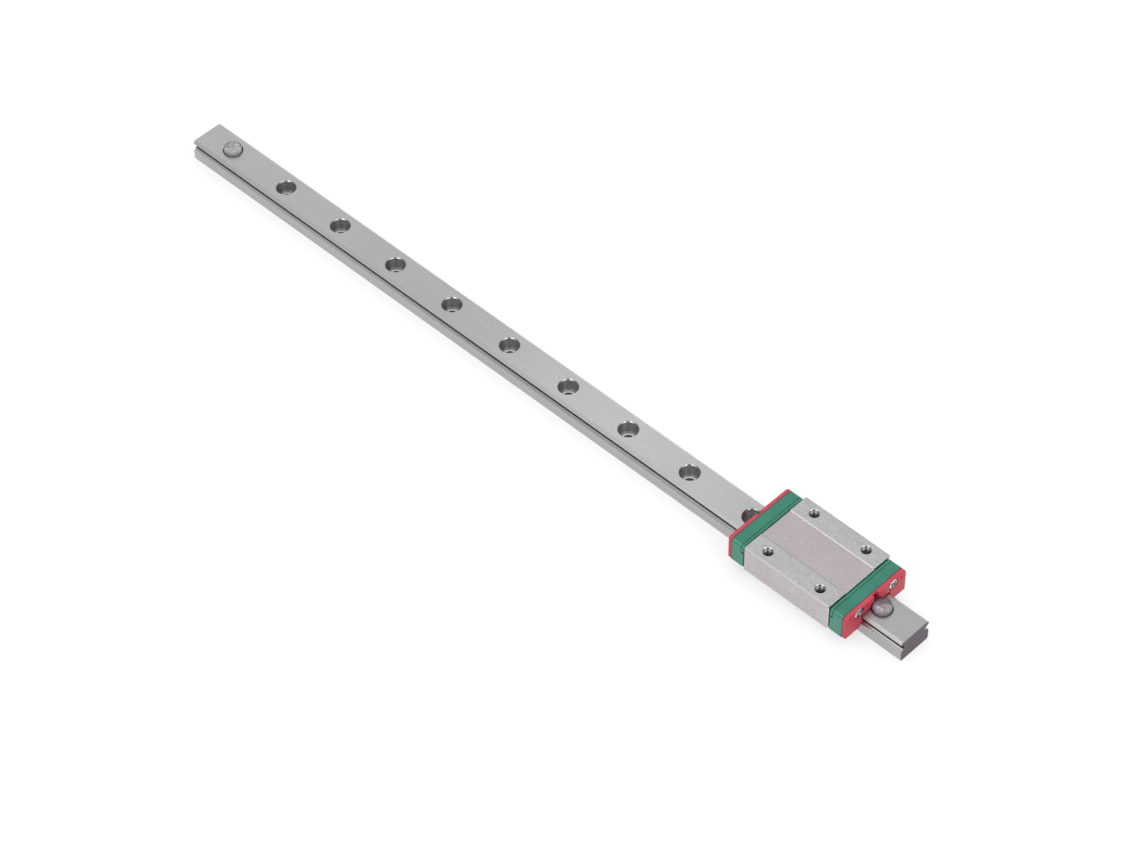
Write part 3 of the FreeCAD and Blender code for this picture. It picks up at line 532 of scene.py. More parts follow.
def rail_steel(look, sizes):
    """Ground steel, with a duller race, turned bolt holes with bright rims, and sawn ends.

    Painted light: highlights on the crown and the rims, glints on the rims, reflections on the
    bolt holes' walls, a near-white highlight on their seats, shade on the sides, in the wire slot
    and down the through holes, and the top, crown and race lighter or darker along the rail.
    """
    material, tree, shader, place, normal = new_material("rail_steel", metallic=1)
    along, across, up = split(tree, place)[:3]
    faces = use_group(tree, "faces", normal=normal)
    away = unsigned(tree, across)
    inside = step_up(tree, away, RAIL_HIGH.y - HAIR, RAIL_HIGH.y - 4 * HAIR)
    above = step_up(tree, up, sizes.race_low - SOFT, sizes.race_low)
    below = step_up(tree, up, sizes.race_high + SOFT, sizes.race_high)
    race = product(tree, above, below, inside)
    deep = step_up(tree, away, sizes.slot_reach, sizes.slot_reach - SOFT)
    before_end = step_up(tree, along, RAIL_HIGH.x - 4 * SOFT, RAIL_HIGH.x - 6 * SOFT)
    slot = product(tree, deep, race, before_end)
    distance = bolt_distance(tree, place, sizes)
    bore = step_up(tree, distance, sizes.bolt_radius + 3 * HAIR, sizes.bolt_radius + HAIR)
    rim_edge = sizes.bolt_radius + sizes.bolt_rim
    rim = step_up(tree, distance, rim_edge + 2 * HAIR, rim_edge)
    seat_edge = sizes.bolt_seat_radius
    seat = product(tree, faces["Up"], step_up(tree, distance, seat_edge, seat_edge - 1.5 * SOFT))
    through = step_up(tree, distance, sizes.bolt_through + 6 * HAIR, sizes.bolt_through + 3 * HAIR)
    outer = step_up(tree, away, sizes.crown_reach, sizes.crown_reach + SOFT)
    crown = product(tree, faces["Edge"], outer)
    at_end = step_up(tree, unsigned(tree, along), RAIL_HIGH.x - 2 * SOFT, RAIL_HIGH.x - SOFT)
    sawn = product(tree, faces["End"], at_end)

    lines = use_group(tree, "lines", vector=place, run=30, cross=2600, contrast=0.22)
    patches = use_group(tree, "handling", vector=place, scale=45, contrast=0.12)
    grain = use_group(tree, "grain", vector=place, scale=2000, contrast=0.5, specks=0.06)
    rings = use_group(tree, "rings", vector=place, scale=4000, contrast=0.4)
    # Painted glints on the bolt holes' rims and painted reflections on their walls, by which way a
    # face looks
    aslant = vector_math(tree, "DOT_PRODUCT", normal, ASLANT)["Value"]
    glints = ramped(tree, unsigned(tree, aslant), *RIM_GLINT_RUN)
    bore_reflections = ramped(tree, aslant, *BORE_REFLECTION_RUN)
    # Painted highlight on the crown and painted light on the race, lighter or darker along the rail
    bright = toned(tree, look.edge_highlight, lines["Tone"], ramped(tree, along, *CROWN_HIGHLIGHT_RUN))
    dull = toned(tree, look.rail_race, lines["Tone"], ramped(tree, along, *RACE_LIGHT_RUN))
    turned = toned(tree, look.bore, rings["Tone"], bore_reflections)
    end = toned(tree, look.rail_end, grain["Tone"], patches["Tone"])

    ground = toned(tree, look.rail_ground, lines["Tone"], patches["Tone"], grain["Tone"])
    # Painted light: the top lighter or darker along the rail, and the sides painted darker as
    # shaded
    ground = toned_where(tree, ground, (faces["Up"], ramped(tree, along, *TOP_LIGHT_RUN)),
                         (faces["Side"], RAIL_SIDE_SHADE))
    ground = layered(mix_colour, tree, ground, (crown, bright), (race, dull))
    # Painted shade in the wire slot
    ground = toned_where(tree, ground, (slot, SLOT_SHADE))
    # Painted highlight on the bolt holes' rims, then their painted glints
    ground = mix_colour(tree, rim, ground, look.edge_highlight)
    ground = toned_where(tree, ground, (rim, glints))
    # Painted reflections on the bore walls, and the seats' painted highlight
    ground = layered(mix_colour, tree, ground, (bore, turned), (seat, look.bolt_seat))
    # Painted shade down the through holes
    ground = toned_where(tree, ground, (through, THROUGH_SHADE))
    ground = mix_colour(tree, sawn, ground, end)
    rough = layered(mix_value, tree, look.rail_roughness, (rim, look.rim_roughness),
                    (bore, look.bore_roughness), (seat, look.seat_roughness),
                    (sawn, look.sawn_roughness))
    feed(tree, shader, base_color=ground, roughness=rough)
    cone = calculate(tree, "MULTIPLY", distance, SEAT_SLOPE / GROUND_RELIEF)
    height = layered(mix_value, tree, lines["Height"], (bore, rings["Height"]),
                     (sawn, grain["Height"]), (seat, cone))
    raise_surface(tree, shader, height, GROUND_RELIEF)
    return material


def depth_shade(tree, up):
    """Painted shade down a mounting hole: a tone that falls from a painted highlight at the mouth
    to nearly black far down.
    """
    lip = BLOCK_HIGH.z - 0.4 * MM
    mouth = step_up(tree, up, lip, BLOCK_HIGH.z - SOFT)
    deep = step_up(tree, up, lip, BLOCK_HIGH.z - 2.2 * MM)
    fall = mix_value(tree, deep, 1, HOLE_DEEP_SHADE)
    return calculate(tree, "MULTIPLY_ADD", mouth, HOLE_MOUTH_HIGHLIGHT, fall)


def thread_steel(look):
    """Cut threads, with a painted highlight at the mouth of a hole and painted shade down in it."""
    material, tree, shader, place, _ = new_material("thread_steel", metallic=1,
                                                    roughness=look.thread_roughness)
    rings = use_group(tree, "rings", vector=place, scale=6000, contrast=0.3)
    shade = depth_shade(tree, split(tree, place)[2])
    feed(tree, shader, base_color=toned(tree, look.block_hole, rings["Tone"], shade))
    return material


def block_steel(look, sizes):
    """Ground steel pads and sides with broken edges, a blasted strip, and mounting holes.

    Painted light: highlights on the edges, shade along the strip's near border and a highlight
    along its far one, and a highlight at the holes' mouths with shade down in them.
    """
    material, tree, shader, place, normal = new_material("block_steel", metallic=1)
    across, up = split(tree, place)[1:]
    away = unsigned(tree, across)
    top = BLOCK_HIGH.z
    faces = use_group(tree, "faces", normal=normal)
    narrow = step_up(tree, away, sizes.strip_half + 2 * HAIR, sizes.strip_half - 2 * HAIR)
    sunk = step_up(tree, up, top - 0.5 * SOFT, top - 1.5 * SOFT)
    strip = product(tree, narrow, sunk, faces["Up"])
    distance = use_group(tree, "holes", vector=place, first=CARRIAGE_X + sizes.mount_side,
                         pitch=2 * sizes.mount_side, side=sizes.mount_side)[0]
    hole_edge = sizes.mount_radius + 0.25 * MM
    near_hole = step_up(tree, distance, hole_edge, hole_edge - 3 * HAIR)
    above_floor = step_up(tree, up, top - 5 * MM, top - 4.5 * MM)
    hole = product(tree, near_hole, above_floor, minus(tree, 1, faces["Up"]))
    near_top = step_up(tree, up, top - MM, top - 0.9 * MM)
    from_border = gap(tree, away, sizes.strip_half)
    border = product(tree, step_up(tree, from_border, SOFT + 6 * HAIR, SOFT), near_top)

    lines = use_group(tree, "lines", vector=place, run=80, cross=1800, contrast=0.24)
    patches = use_group(tree, "handling", vector=place, scale=140, contrast=0.14)
    grain = use_group(tree, "grain", vector=place, scale=1800, contrast=0.7, specks=0.08)
    blasted = use_group(tree, "grain", vector=place, scale=1500, contrast=0.45, specks=0.12)
    # Painted highlight: the block's edges are drawn lighter
    bright = toned(tree, look.edge_highlight, lines["Tone"])
    dull = toned(tree, look.block_strip, blasted["Tone"], patches["Tone"])
    # Painted shade along the strip's near border, a painted highlight along its far one
    border_light = mix_value(tree, step_up(tree, across, -MM, MM), BORDER_NEAR_SHADE, BORDER_FAR_HIGHLIGHT)

    ground = mix_colour(tree, faces["Side"], look.block_pad, look.block_side)
    ground = toned(tree, ground, lines["Tone"], patches["Tone"], grain["Tone"])
    ground = layered(mix_colour, tree, ground, (faces["Edge"], bright), (strip, dull))
    ground = toned_where(tree, ground, (border, border_light))
    # Painted highlight at the mounting holes' mouths and painted shade down in them
    ground = mix_colour(tree, hole, ground, toned(tree, look.block_hole, depth_shade(tree, up)))
    rough = layered(mix_value, tree, look.roughness, (strip, look.blasted_roughness),
                    (hole, look.hole_roughness))
    feed(tree, shader, base_color=ground, roughness=rough)
    height = mix_value(tree, strip, lines["Height"], blasted["Height"])
    raise_surface(tree, shader, height, BLOCK_RELIEF)
    return material


def moulded(name, base, roughness, scale, contrast, depth):
    """A moulded plastic or rubber: one colour with fine grain and wide soft patches."""
    material, tree, shader, place, normal = new_material(name, roughness=roughness)
    specks = contrast / 4
    grain = use_group(tree, "grain", vector=place, scale=scale, contrast=contrast, specks=specks)
    patches = use_group(tree, "handling", vector=place, scale=160, contrast=contrast)
    raise_surface(tree, shader, grain["Height"], depth)
    return material, tree, shader, place, normal, toned(tree, base, grain["Tone"], patches["Tone"])


def from_screw(tree, across, up):
    """Distance to the nearer cap screw's axis, and how far outward and up that is."""
    side = minus(tree, unsigned(tree, across), SCREW_SIDE)
    rise = minus(tree, up, SCREW_HEIGHT)
    return vector_math(tree, "LENGTH", joined(tree, 0, side, rise))["Value"], side, rise


def end_moulding(name, base, roughness, sizes, scale, contrast, side_lighting, edge_lighting, end_lighting,
                 sheen):
    """A cap or seal: its sides, corners and ends are toned as they are lit (painted light), with a
    faint painted sheen on the sides and corners.

    The joint of cap and seal, the lubrication hole and the screws' seats have painted shade,
    and the notch by the lubrication hole is painted lighter.
    """
    material, tree, shader, place, normal, tone = moulded(name, base, roughness, scale, contrast,
                                                          MOULD_RELIEF)
    along, across, up = split(tree, place)[:3]
    faces = use_group(tree, "faces", normal=normal)
    # Painted shade in the joint of cap and seal, wider at the foot
    from_joint = gap(tree, gap(tree, along, CARRIAGE_X), sizes.seal_joint)
    foot = step_up(tree, up, 4.5 * MM, 3.8 * MM)
    half_width = calculate(tree, "MULTIPLY_ADD", foot, 0.3 * MM, 0.14 * MM)
    beyond = minus(tree, from_joint, half_width)
    joint = product(tree, step_up(tree, beyond, 5 * HAIR, 0), minus(tree, 1, faces["End"]))
    # Painted shade in the lubrication hole, a little aside of its axis, and the notch by it painted
    # lighter
    aside = minus(tree, across, 0.35 * MM)
    rise = minus(tree, up, sizes.lube_height - 0.1 * MM)
    from_lube = vector_math(tree, "LENGTH", joined(tree, 0, aside, rise))["Value"]
    lube_hole = step_up(tree, from_lube, sizes.lube_radius + 0.25 * MM,
                        sizes.lube_radius - 0.05 * MM)
    notch = product(tree, step_up(tree, unsigned(tree, across), 3.2 * MM, 2.8 * MM),
                    step_up(tree, gap(tree, rise, -0.6 * MM), 1.6 * MM, 1.3 * MM))
    # Painted shade round the screws' heads
    seat = step_up(tree, from_screw(tree, across, up)[0], SCREW_RADIUS + 3 * SOFT,
                   SCREW_RADIUS + SOFT)
    flank = calculate(tree, "MAXIMUM", faces["Side"], faces["Edge"])

    # Painted light: sides, corners and ends toned as lit, and a painted sheen on sides and corners
    tone = toned_where(tree, tone, (faces["Side"], side_lighting), (faces["Edge"], edge_lighting),
                       (faces["End"], end_lighting))
    tone = mix_colour(tree, product(tree, flank, sheen), tone, WHITE)
    tone = toned_where(tree, tone, (joint, JOINT_SHADE), (notch, LUBE_NOTCH_LIGHT),
                       (lube_hole, LUBE_HOLE_SHADE), (seat, SCREW_SEAT_SHADE))
    feed(tree, shader, base_color=tone)
    return material


def plug_plastic(look, sizes):
    """Mottled soft plastic with pale strokes in its face. Painted shade at its foot, at the rear of
    its rim and on its back behind the near plug; the front of its rim is painted lighter.
    """
    material, tree, shader, place, _, mottle = moulded("plug_plastic", WHITE, look.plug_roughness,
                                                       scale=1100, contrast=1.1,
                                                       depth=PLUG_RELIEF)
    along, across, up = split(tree, place)[:3]
    near = step_up(tree, along, -MM, MM)
    distance = bolt_distance(tree, place, sizes)
    strokes = use_group(tree, "squiggles", vector=place, scale=950, width=0.09)[0]
    face = step_up(tree, distance, 2.6 * MM, 2 * MM)
    # Painted shade at the plug's foot
    foot = step_up(tree, up, RAIL_HIGH.z + 0.42 * MM, RAIL_HIGH.z + 0.22 * MM)
    # Painted light round the rim: lighter at the front, painted shade at the rear and behind the
    # near plug
    rim = step_up(tree, distance, sizes.bolt_radius - MM, sizes.bolt_radius - 0.4 * MM)
    back = minus(tree, across, along)
    back = calculate(tree, "ADD", back, mix_value(tree, near, -PLUG_X, PLUG_X))
    front = product(tree, rim, step_up(tree, back, 0, -1.5 * MM))
    rear = product(tree, rim, step_up(tree, back, 0, 1.5 * MM))
    rear_shade = mix_value(tree, near, PLUG_REAR_FAR_SHADE, PLUG_REAR_NEAR_SHADE)
    behind = product(tree, step_up(tree, back, -0.5 * MM, 2.2 * MM), near)

    # The near plug's darker, pinker colour is painted shade and a painted reflection of the red
    # seal
    tone = toned(tree, mottle, mix_colour(tree, near, look.plug_far, look.plug_near))
    tone = toned_where(tree, tone, (product(tree, strokes, face), PLUG_STROKE_TONE),
                       (foot, PLUG_FOOT_SHADE), (front, PLUG_FRONT_LIGHT), (rear, rear_shade),
                       (behind, PLUG_BEHIND_SHADE))
    feed(tree, shader, base_color=tone)
    return material


def screw_steel(look):
    """Bright plating, with painted shade black down in the cross recess but for a painted glint
    across its middle.
    """
    material, tree, shader, place, normal = new_material("screw_steel", metallic=1,
                                                         roughness=look.screw_roughness)
    along, across, up = split(tree, place)[:3]
    lines = use_group(tree, "lines", vector=place, run=900, cross=2600, contrast=0.1)
    distance, side, rise = from_screw(tree, across, up)
    aside = product(tree, side, calculate(tree, "SIGN", across))
    within = step_up(tree, distance, 1.4 * MM, 1.32 * MM)
    face = SCREW_HIGH.x - CARRIAGE_X
    floor = step_up(tree, gap(tree, along, CARRIAGE_X), face - 0.3 * MM, face - 0.45 * MM)
    wall = step_up(tree, unsigned(tree, split(tree, normal)[0]), 0.75, 0.6)
    deep = calculate(tree, "MAXIMUM", floor, wall)
    # A painted glint across the recess's middle is left out of its painted shade
    from_glint = unsigned(tree, calculate(tree, "ADD", aside, rise))
    lower = minus(tree, aside, rise)
    wings = product(tree, step_up(tree, from_glint, 0.1 * MM, 0.25 * MM),
                    step_up(tree, lower, 0.9 * MM, 0.7 * MM))
    recess = product(tree, within, deep, wings)
    # Painted shade down in the cross recess
    plating = toned_where(tree, toned(tree, look.screw, lines["Tone"]),
                          (recess, SCREW_RECESS_SHADE))
    feed(tree, shader, base_color=plating)
    raise_surface(tree, shader, lines["Height"], BRIGHT_RELIEF)
    return material


def bright_metal(name, base, roughness, contrast):
    """A plated, polished or drawn metal with faint scratches."""
    material, tree, shader, place, _ = new_material(name, metallic=1)
    lines = use_group(tree, "lines", vector=place, run=900, cross=2600, contrast=contrast)
    rough = calculate(tree, "MULTIPLY", lines["Tone"], roughness)
    feed(tree, shader, base_color=toned(tree, base, lines["Tone"]), roughness=rough)
    raise_surface(tree, shader, lines["Height"], BRIGHT_RELIEF)
    return material


def finish(node, material):
    """Give a CAD node this material in its object's slots."""
    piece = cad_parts[node]
    if not piece.material_slots:
        piece.data.materials.append(None)
    for slot in piece.material_slots:
        slot.link = "OBJECT"
        slot.material = material


# Modelling helpers
def only_edges(parts):
    return [part for part in parts if isinstance(part, bmesh.types.BMEdge)]


def lathe(mesh, outline, steps):
    """Spin an outline of (radius, height) points about Z. Gives the edges of an open last ring."""
    points = [mesh.verts.new((radius, 0, height)) for radius, height in outline]
    edges = [mesh.edges.new(pair) for pair in zip(points, points[1:])]
    bmesh.ops.spin(mesh, geom=points + edges, angle=2 * math.pi, steps=steps, axis=(0, 0, 1),
                   cent=(0, 0, 0), use_merge=True)
    bmesh.ops.remove_doubles(mesh, verts=mesh.verts, dist=MERGE_DISTANCE)
    return [edge for edge in mesh.edges if edge.is_boundary]


def new_object(name, data):
    """Put an object with this data in the scene."""
    item = bpy.data.objects.new(name, data)
    bpy.context.scene.collection.objects.link(item)
    return item


def mesh_object(name, mesh, material):
    """Turn a bmesh, which is freed, into an object in the scene."""
    data = bpy.data.meshes.new(name)
    mesh.to_mesh(data)
    mesh.free()
    data.materials.append(material)
    return new_object(name, data)


def add_piece(mesh, name, body, material, replaced=()):
    """Close a bmesh into a piece that rides on a body of the guide."""
    bmesh.ops.remove_doubles(mesh, verts=mesh.verts, dist=MERGE_DISTANCE)
    bmesh.ops.recalc_face_normals(mesh, faces=mesh.faces)
    piece = mesh_object(name, mesh, material)
    piece.data.shade_smooth()
    piece.data.set_sharp_from_angle(angle=SHARP_ANGLE)
    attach(piece, body)
    if replaced:
        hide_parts(*replaced)


def screw_mesh(low, high, outward, sizes):
    """A pan head screw along X, with a tapered cross recess, that fills its CAD node's box."""
    mesh = bmesh.new()
    head = (high.y - low.y) / 2
    whole = high.x - low.x
    shank = sizes.screw_shank
    under = whole - sizes.screw_head
    rim = lathe(mesh, [
        (0, 0), (shank * 0.6, 0), (shank, shank * 0.5), (shank, under), (head * 0.98, under),
        (head, under + 0.1 * MM), (head, whole - 0.55 * MM), (head * 0.97, whole - 0.36 * MM),
        (head * 0.89, whole - 0.24 * MM), (head * 0.77, whole - 0.16 * MM),
    ], steps=48)

    long_half = sizes.cross_length / 2
    thin_half = sizes.cross_width / 2
    quarter = [(long_half, -thin_half), (long_half, thin_half), (thin_half, thin_half)]
    corners = []
    for turn in range(4):
        spin = Matrix.Rotation(turn * math.pi / 2, 3, "Z")
        for across, up in quarter:
            corners.append(mesh.verts.new(spin @ Vector((across, up, whole))))
    cross = []
    for index, corner in enumerate(corners):
        cross.append(mesh.edges.new((corner, corners[(index + 1) % len(corners)])))
    cut = bmesh.ops.subdivide_edges(mesh, edges=cross, cuts=3)
    lip = dict.fromkeys(only_edges(cut["geom_inner"] + cut["geom_split"]))
    lip = [edge for edge in lip if edge.is_wire]
    for vert in {vert for edge in lip for vert in edge.verts}:
        fall = (vert.co.xy.length / head) ** 2
        vert.co.z = whole - sizes.screw_dome * fall
    bmesh.ops.bridge_loops(mesh, edges=rim + lip)
    floor = bmesh.ops.extrude_edge_only(mesh, edges=lip)["geom"]
    sunk = [part for part in floor if isinstance(part, bmesh.types.BMVert)]
    for vert in sunk:
        vert.co = (vert.co.x / 2, vert.co.y / 2, whole - sizes.cross_depth)
    bmesh.ops.contextual_create(mesh, geom=only_edges(floor))

    tip = Vector((low.x if outward > 0 else high.x, (low.y + high.y) / 2, (low.z + high.z) / 2))
    lay = Matrix.Rotation(outward * math.pi / 2, 4, "Y")
    twist = Matrix.Rotation(CROSS_TURN_LEFT if low.y > 0 else CROSS_TURN_RIGHT, 4, "Z")
    mesh.transform(Matrix.Translation(tip) @ lay @ twist)
    return mesh


def thread_mesh(sizes):
    """The four mounting threads: a ridge that winds down the wall of each hole."""
    mesh = bmesh.new()
    turn_steps = 32
    root = sizes.mount_radius + 0.02 * MM
    crest = sizes.mount_radius - sizes.thread_height
    pitch = sizes.thread_pitch
    start = BLOCK_HIGH.z - 0.35 * MM
    profile = [(root, 0), (crest, -0.4 * pitch), (crest, -0.52 * pitch), (root, -0.92 * pitch)]
    for side_x in (-1, 1):
        for side_y in (-1, 1):
            centre = Vector((CARRIAGE_X + side_x * sizes.mount_side, side_y * sizes.mount_side,
                             start))
            points = []
            for radius, drop in profile:
                points.append(mesh.verts.new(centre + Vector((radius, 0, drop))))
            section = mesh.faces.new(points)
            made = bmesh.ops.spin(mesh, geom=points + list(section.edges),
                                  angle=2 * math.pi * sizes.thread_turns,
                                  steps=turn_steps * sizes.thread_turns, axis=(0, 0, 1),
                                  cent=centre, dvec=(0, 0, -pitch / turn_steps), use_merge=False)
            bmesh.ops.contextual_create(mesh, geom=only_edges(made["geom_last"]))
    return mesh


def plug_mesh(low, high, sizes, top):
    """A soft plug: a stem, and a button with a rounded shoulder and marks pressed in its face."""
    mesh = bmesh.new()
    head = (high.y - low.y) / 2
    stem = sizes.plug_stem
    ledge = top - sizes.plug_ledge
    soft = sizes.plug_soft
    flat = head - soft
    shoulder = high.z - sizes.plug_crown - soft
    outline = [(0, low.z), (stem - 0.2 * MM, low.z), (stem, low.z + 0.2 * MM), (stem, ledge),
               (head - 0.1 * MM, ledge), (head, ledge + 0.1 * MM)]
    shoulder_rings, face_rings = 8, 20
    for ring in range(shoulder_rings + 1):
        turn = ring / shoulder_rings * math.pi / 2
        outline.append((flat + soft * math.cos(turn), shoulder + soft * math.sin(turn)))
    for ring in range(1, face_rings + 1):
        radius = flat * (1 - ring / face_rings)
        outline.append((radius, high.z - sizes.plug_crown * (radius / flat) ** 2))
    lathe(mesh, outline, steps=96)
    for vert in mesh.verts:
        if vert.co.z > shoulder:
            radius = vert.co.xy.length
            angle = math.atan2(vert.co.y, vert.co.x)
            band = math.exp(-((radius / flat - 0.5) / 0.26) ** 2)
            petals = math.cos(3 * angle + 0.6) + 0.7 * math.cos(5 * angle + 2)
            petals += 0.5 * math.cos(8 * angle)
            vert.co.z -= sizes.plug_mark * max(0.8 + 0.6 * petals, 0) * band
    mesh.transform(Matrix.Translation(Vector(((low.x + high.x) / 2, (low.y + high.y) / 2, 0))))
    return mesh


# Operators, one for each group of like pieces
class GUIDE_OT_rail(bpy.types.Operator):
    """Give the rail its ground, turned and sawn surfaces"""

    bl_idname = "guide.rail"
    bl_label = "Rail"

    def execute(self, context):
        finish("rail", rail_steel(context.scene.guide_steel, context.scene.guide_detail))
        return {"FINISHED"}


class GUIDE_OT_block(bpy.types.Operator):
    """Give the block its surfaces and cut the threads in its mounting holes"""

    bl_idname = "guide.block"
    bl_label = "Carriage Block"

    def execute(self, context):
        look = context.scene.guide_steel
        sizes = context.scene.guide_detail
        finish("carriage_block", block_steel(look, sizes))
        add_piece(thread_mesh(sizes), "mounting_threads", "carriage",
                  thread_steel(look))
        return {"FINISHED"}


class GUIDE_OT_caps(bpy.types.Operator):
    """Give the end caps their moulded plastic"""

    bl_idname = "guide.caps"
    bl_label = "End Caps"

    def execute(self, context):
        look = context.scene.guide_plastic
        sizes = context.scene.guide_detail
        # Painted light on the caps' sides and corners, and a painted sheen
        plastic = end_moulding("cap_plastic", look.cap, look.cap_roughness, sizes, scale=2000,
                               contrast=0.5, side_lighting=1.5, edge_lighting=1.5, end_lighting=1,
                               sheen=0.045)
        for end in ("front", "rear"):
            finish("end_cap_%s" % end, plastic)
        return {"FINISHED"}


class GUIDE_OT_seals(bpy.types.Operator):
    """Give the end seals their rubber"""

    bl_idname = "guide.seals"
    bl_label = "End Seals"

    def execute(self, context):
        look = context.scene.guide_plastic
        sizes = context.scene.guide_detail
        # Painted light on the seals' sides, corners and ends, and a painted sheen
        rubber = end_moulding("seal_rubber", look.seal, look.seal_roughness, sizes, scale=1800,
                              contrast=0.3, side_lighting=1.25, edge_lighting=1.12, end_lighting=1.16,
                              sheen=0.012)
        for end in ("front", "rear"):
            finish("end_seal_%s" % end, rubber)
        return {"FINISHED"}


class GUIDE_OT_screws(bpy.types.Operator):
    """Model the four cap screws with their cross recesses"""

    bl_idname = "guide.screws"
    bl_label = "Cap Screws"

    def execute(self, context):
        sizes = context.scene.guide_detail
        plated = screw_steel(context.scene.guide_small)
        for node in SCREW_NODES:
            outward = 1 if "front" in node else -1
            mesh = screw_mesh(*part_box(node), outward, sizes)
            add_piece(mesh, "%s_head" % node, "carriage", plated, [node])
        return {"FINISHED"}


class GUIDE_OT_plugs(bpy.types.Operator):
    """Model the two soft stop plugs with their pressed marks"""

    bl_idname = "guide.plugs"
    bl_label = "Stop Plugs"

    def execute(self, context):
        look = context.scene.guide_plastic
        sizes = context.scene.guide_detail
        soft = plug_plastic(look, sizes)
        for node in PLUG_NODES:
            mesh = plug_mesh(*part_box(node), sizes, RAIL_HIGH.z)
            add_piece(mesh, "%s_soft" % node, "rail", soft, [node])
        return {"FINISHED"}


class GUIDE_OT_balls(bpy.types.Operator):
    """Give the balls and the wires that hold them their bright metal"""

    bl_idname = "guide.balls"
    bl_label = "Balls and Wires"

    def execute(self, context):
        look = context.scene.guide_small
        polished = bright_metal("ball_steel", look.ball, look.ball_roughness, contrast=0.03)
        drawn = bright_metal("wire_steel", look.wire, look.wire_roughness, contrast=0.1)
        for hand in ("left", "right"):
            finish("balls_%s" % hand, polished)
            finish("ball_wire_%s" % hand, drawn)
        return {"FINISHED"}


def soft_light(name, energy, width, place, target):
    """A large square lamp at `place`, turned to face `target`."""
    lamp = bpy.data.lights.new(name, "AREA")
    lamp.shape = "SQUARE"
    lamp.size = width
    lamp.energy = energy
    stand = new_object(name, lamp)
    stand.location = place
    toward = Vector(target) - Vector(place)
    stand.rotation_euler = toward.to_track_quat("-Z", "Y").to_euler()


def shown_white(tree, reflected):
    """1 to the camera and through a clear material, `reflected` in a reflection, and else 0."""
    path = tree.nodes.new("ShaderNodeLightPath").outputs
    seen = calculate(tree, "MAXIMUM", path["Is Camera Ray"], path["Is Transmission Ray"])
    glossy = calculate(tree, "MULTIPLY", path["Is Glossy Ray"], reflected)
    return calculate(tree, "MAXIMUM", seen, glossy)


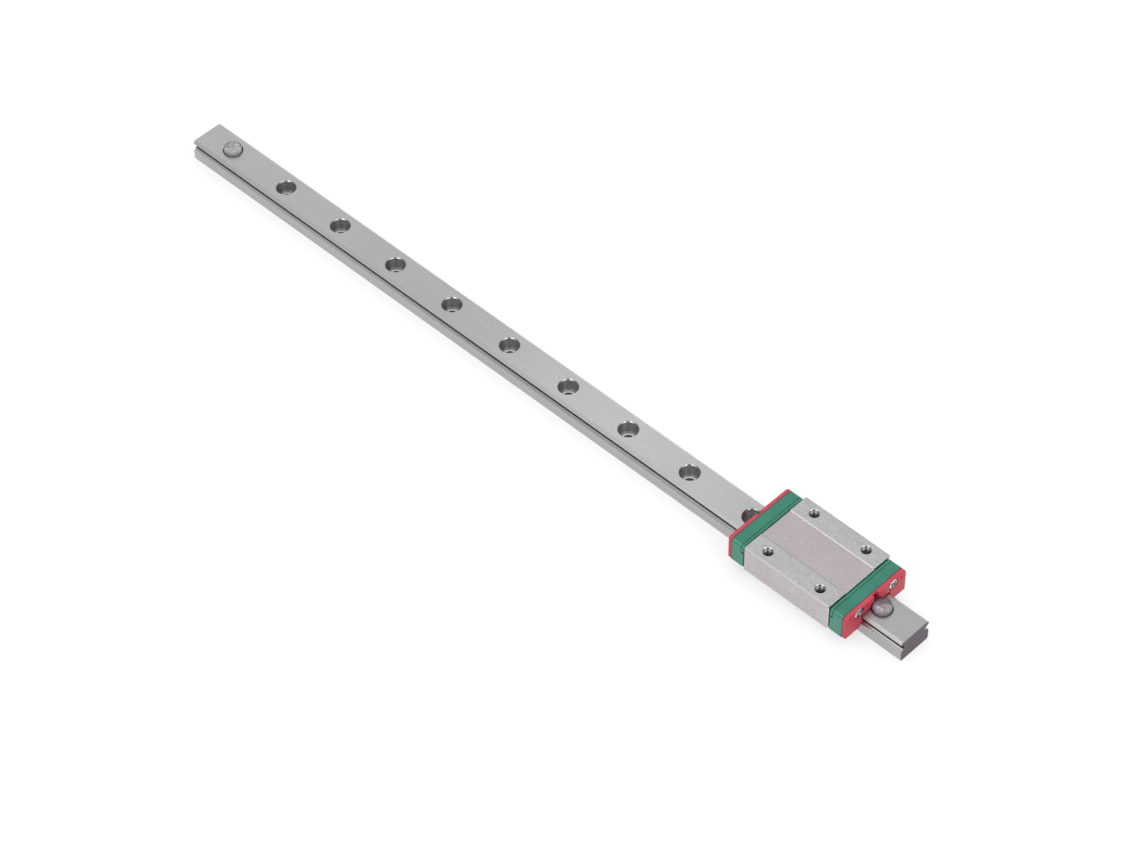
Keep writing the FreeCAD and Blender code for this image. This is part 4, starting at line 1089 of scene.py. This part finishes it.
class GUIDE_OT_studio(bpy.types.Operator):
    """Set up the camera, the soft lights and the pale floor"""

    bl_idname = "guide.studio"
    bl_label = "Studio"

    def execute(self, context):
        studio = context.scene.guide_studio
        context.scene.view_settings.view_transform = "Standard"
        self.aim_camera(context, studio)
        self.lay_floor(studio)
        self.surround(context, studio)
        middle = (CARRIAGE_X / 2, 0, 0)
        width = studio.light_width
        soft_light("left_light", studio.left_power, width, LEFT_LIGHT_PLACE, middle)
        soft_light("right_light", studio.right_power, width, RIGHT_LIGHT_PLACE, middle)
        return {"FINISHED"}

    def aim_camera(self, context, studio):
        lens = bpy.data.cameras.new("camera")
        lens.lens = studio.lens
        lens.sensor_width = 36
        lens.clip_start = 0.05
        lens.clip_end = 50
        camera = new_object("camera", lens)
        context.scene.camera = camera
        level = math.cos(studio.elevation)
        back = Vector((math.sin(studio.azimuth) * level, -math.cos(studio.azimuth) * level,
                       math.sin(studio.elevation)))
        look = (-back).to_track_quat("-Z", "Y").to_matrix() @ Matrix.Rotation(-studio.roll, 3, "Z")
        camera.rotation_mode = "QUATERNION"
        camera.rotation_quaternion = look.to_quaternion()
        camera.location = Vector(studio.aim) + back * studio.distance

    def lay_floor(self, studio):
        mesh = bmesh.new()
        bmesh.ops.create_grid(mesh, x_segments=1, y_segments=1, size=FLOOR_HALF_WIDTH)
        tone = studio.floor_tone
        material, tree, shader = new_material(
            "floor_white", base_color=(tone, tone, tone, 1), emission_color=WHITE, roughness=0.9,
            specular_ior_level=0)[:3]
        lift = calculate(tree, "MULTIPLY", shown_white(tree, 1), studio.floor_lift)
        feed(tree, shader, emission_strength=lift)
        floor = mesh_object("floor", mesh, material)

    def surround(self, context, studio):
        world = bpy.data.worlds.new("studio")
        context.scene.world = world
        world.use_nodes = True
        tree = world.node_tree
        light = tree.nodes["Background"]
        light.inputs["Color"].default_value = WHITE
        toward = put(tree, "ShaderNodeTexCoord").outputs["Generated"]
        slope = (-studio.left_wall, studio.right_wall, studio.ceiling)
        tilt = vector_math(tree, "DOT_PRODUCT", toward, slope)["Value"]
        walls = calculate(tree, "MAXIMUM", calculate(tree, "ADD", tilt, studio.surround), 0)
        tree.links.new(mix_value(tree, shown_white(tree, 0), walls, 1), light.inputs["Strength"])


class GUIDE_PT_panel(bpy.types.Panel):
    """Lists the steps that finish the guide"""

    bl_idname = "GUIDE_PT_panel"
    bl_label = "Linear Guide"
    bl_space_type = "VIEW_3D"
    bl_region_type = "UI"
    bl_category = "Linear Guide"

    def draw(self, context):
        column = self.layout.column()
        for step in OPERATORS:
            column.operator(step.bl_idname)
        for name, group in PROPERTY_GROUPS.items():
            box = self.layout.box()
            for setting in group.__annotations__:
                box.prop(getattr(context.scene, name), setting)


OPERATORS = (
    GUIDE_OT_rail,
    GUIDE_OT_block,
    GUIDE_OT_caps,
    GUIDE_OT_seals,
    GUIDE_OT_screws,
    GUIDE_OT_plugs,
    GUIDE_OT_balls,
    GUIDE_OT_studio,
)


def register():
    for name, group in PROPERTY_GROUPS.items():
        bpy.utils.register_class(group)
        setattr(bpy.types.Scene, name, PointerProperty(type=group))
    for item in (*OPERATORS, GUIDE_PT_panel):
        bpy.utils.register_class(item)


def unregister():
    for item in (GUIDE_PT_panel, *reversed(OPERATORS)):
        bpy.utils.unregister_class(item)
    for name, group in reversed(PROPERTY_GROUPS.items()):
        delattr(bpy.types.Scene, name)
        bpy.utils.unregister_class(group)


def main():
    register()
    bpy.ops.guide.rail()
    bpy.ops.guide.block()
    bpy.ops.guide.caps()
    bpy.ops.guide.seals()
    bpy.ops.guide.screws()
    bpy.ops.guide.plugs()
    bpy.ops.guide.balls()
    bpy.ops.guide.studio()


if __name__ == "__main__":
    main()
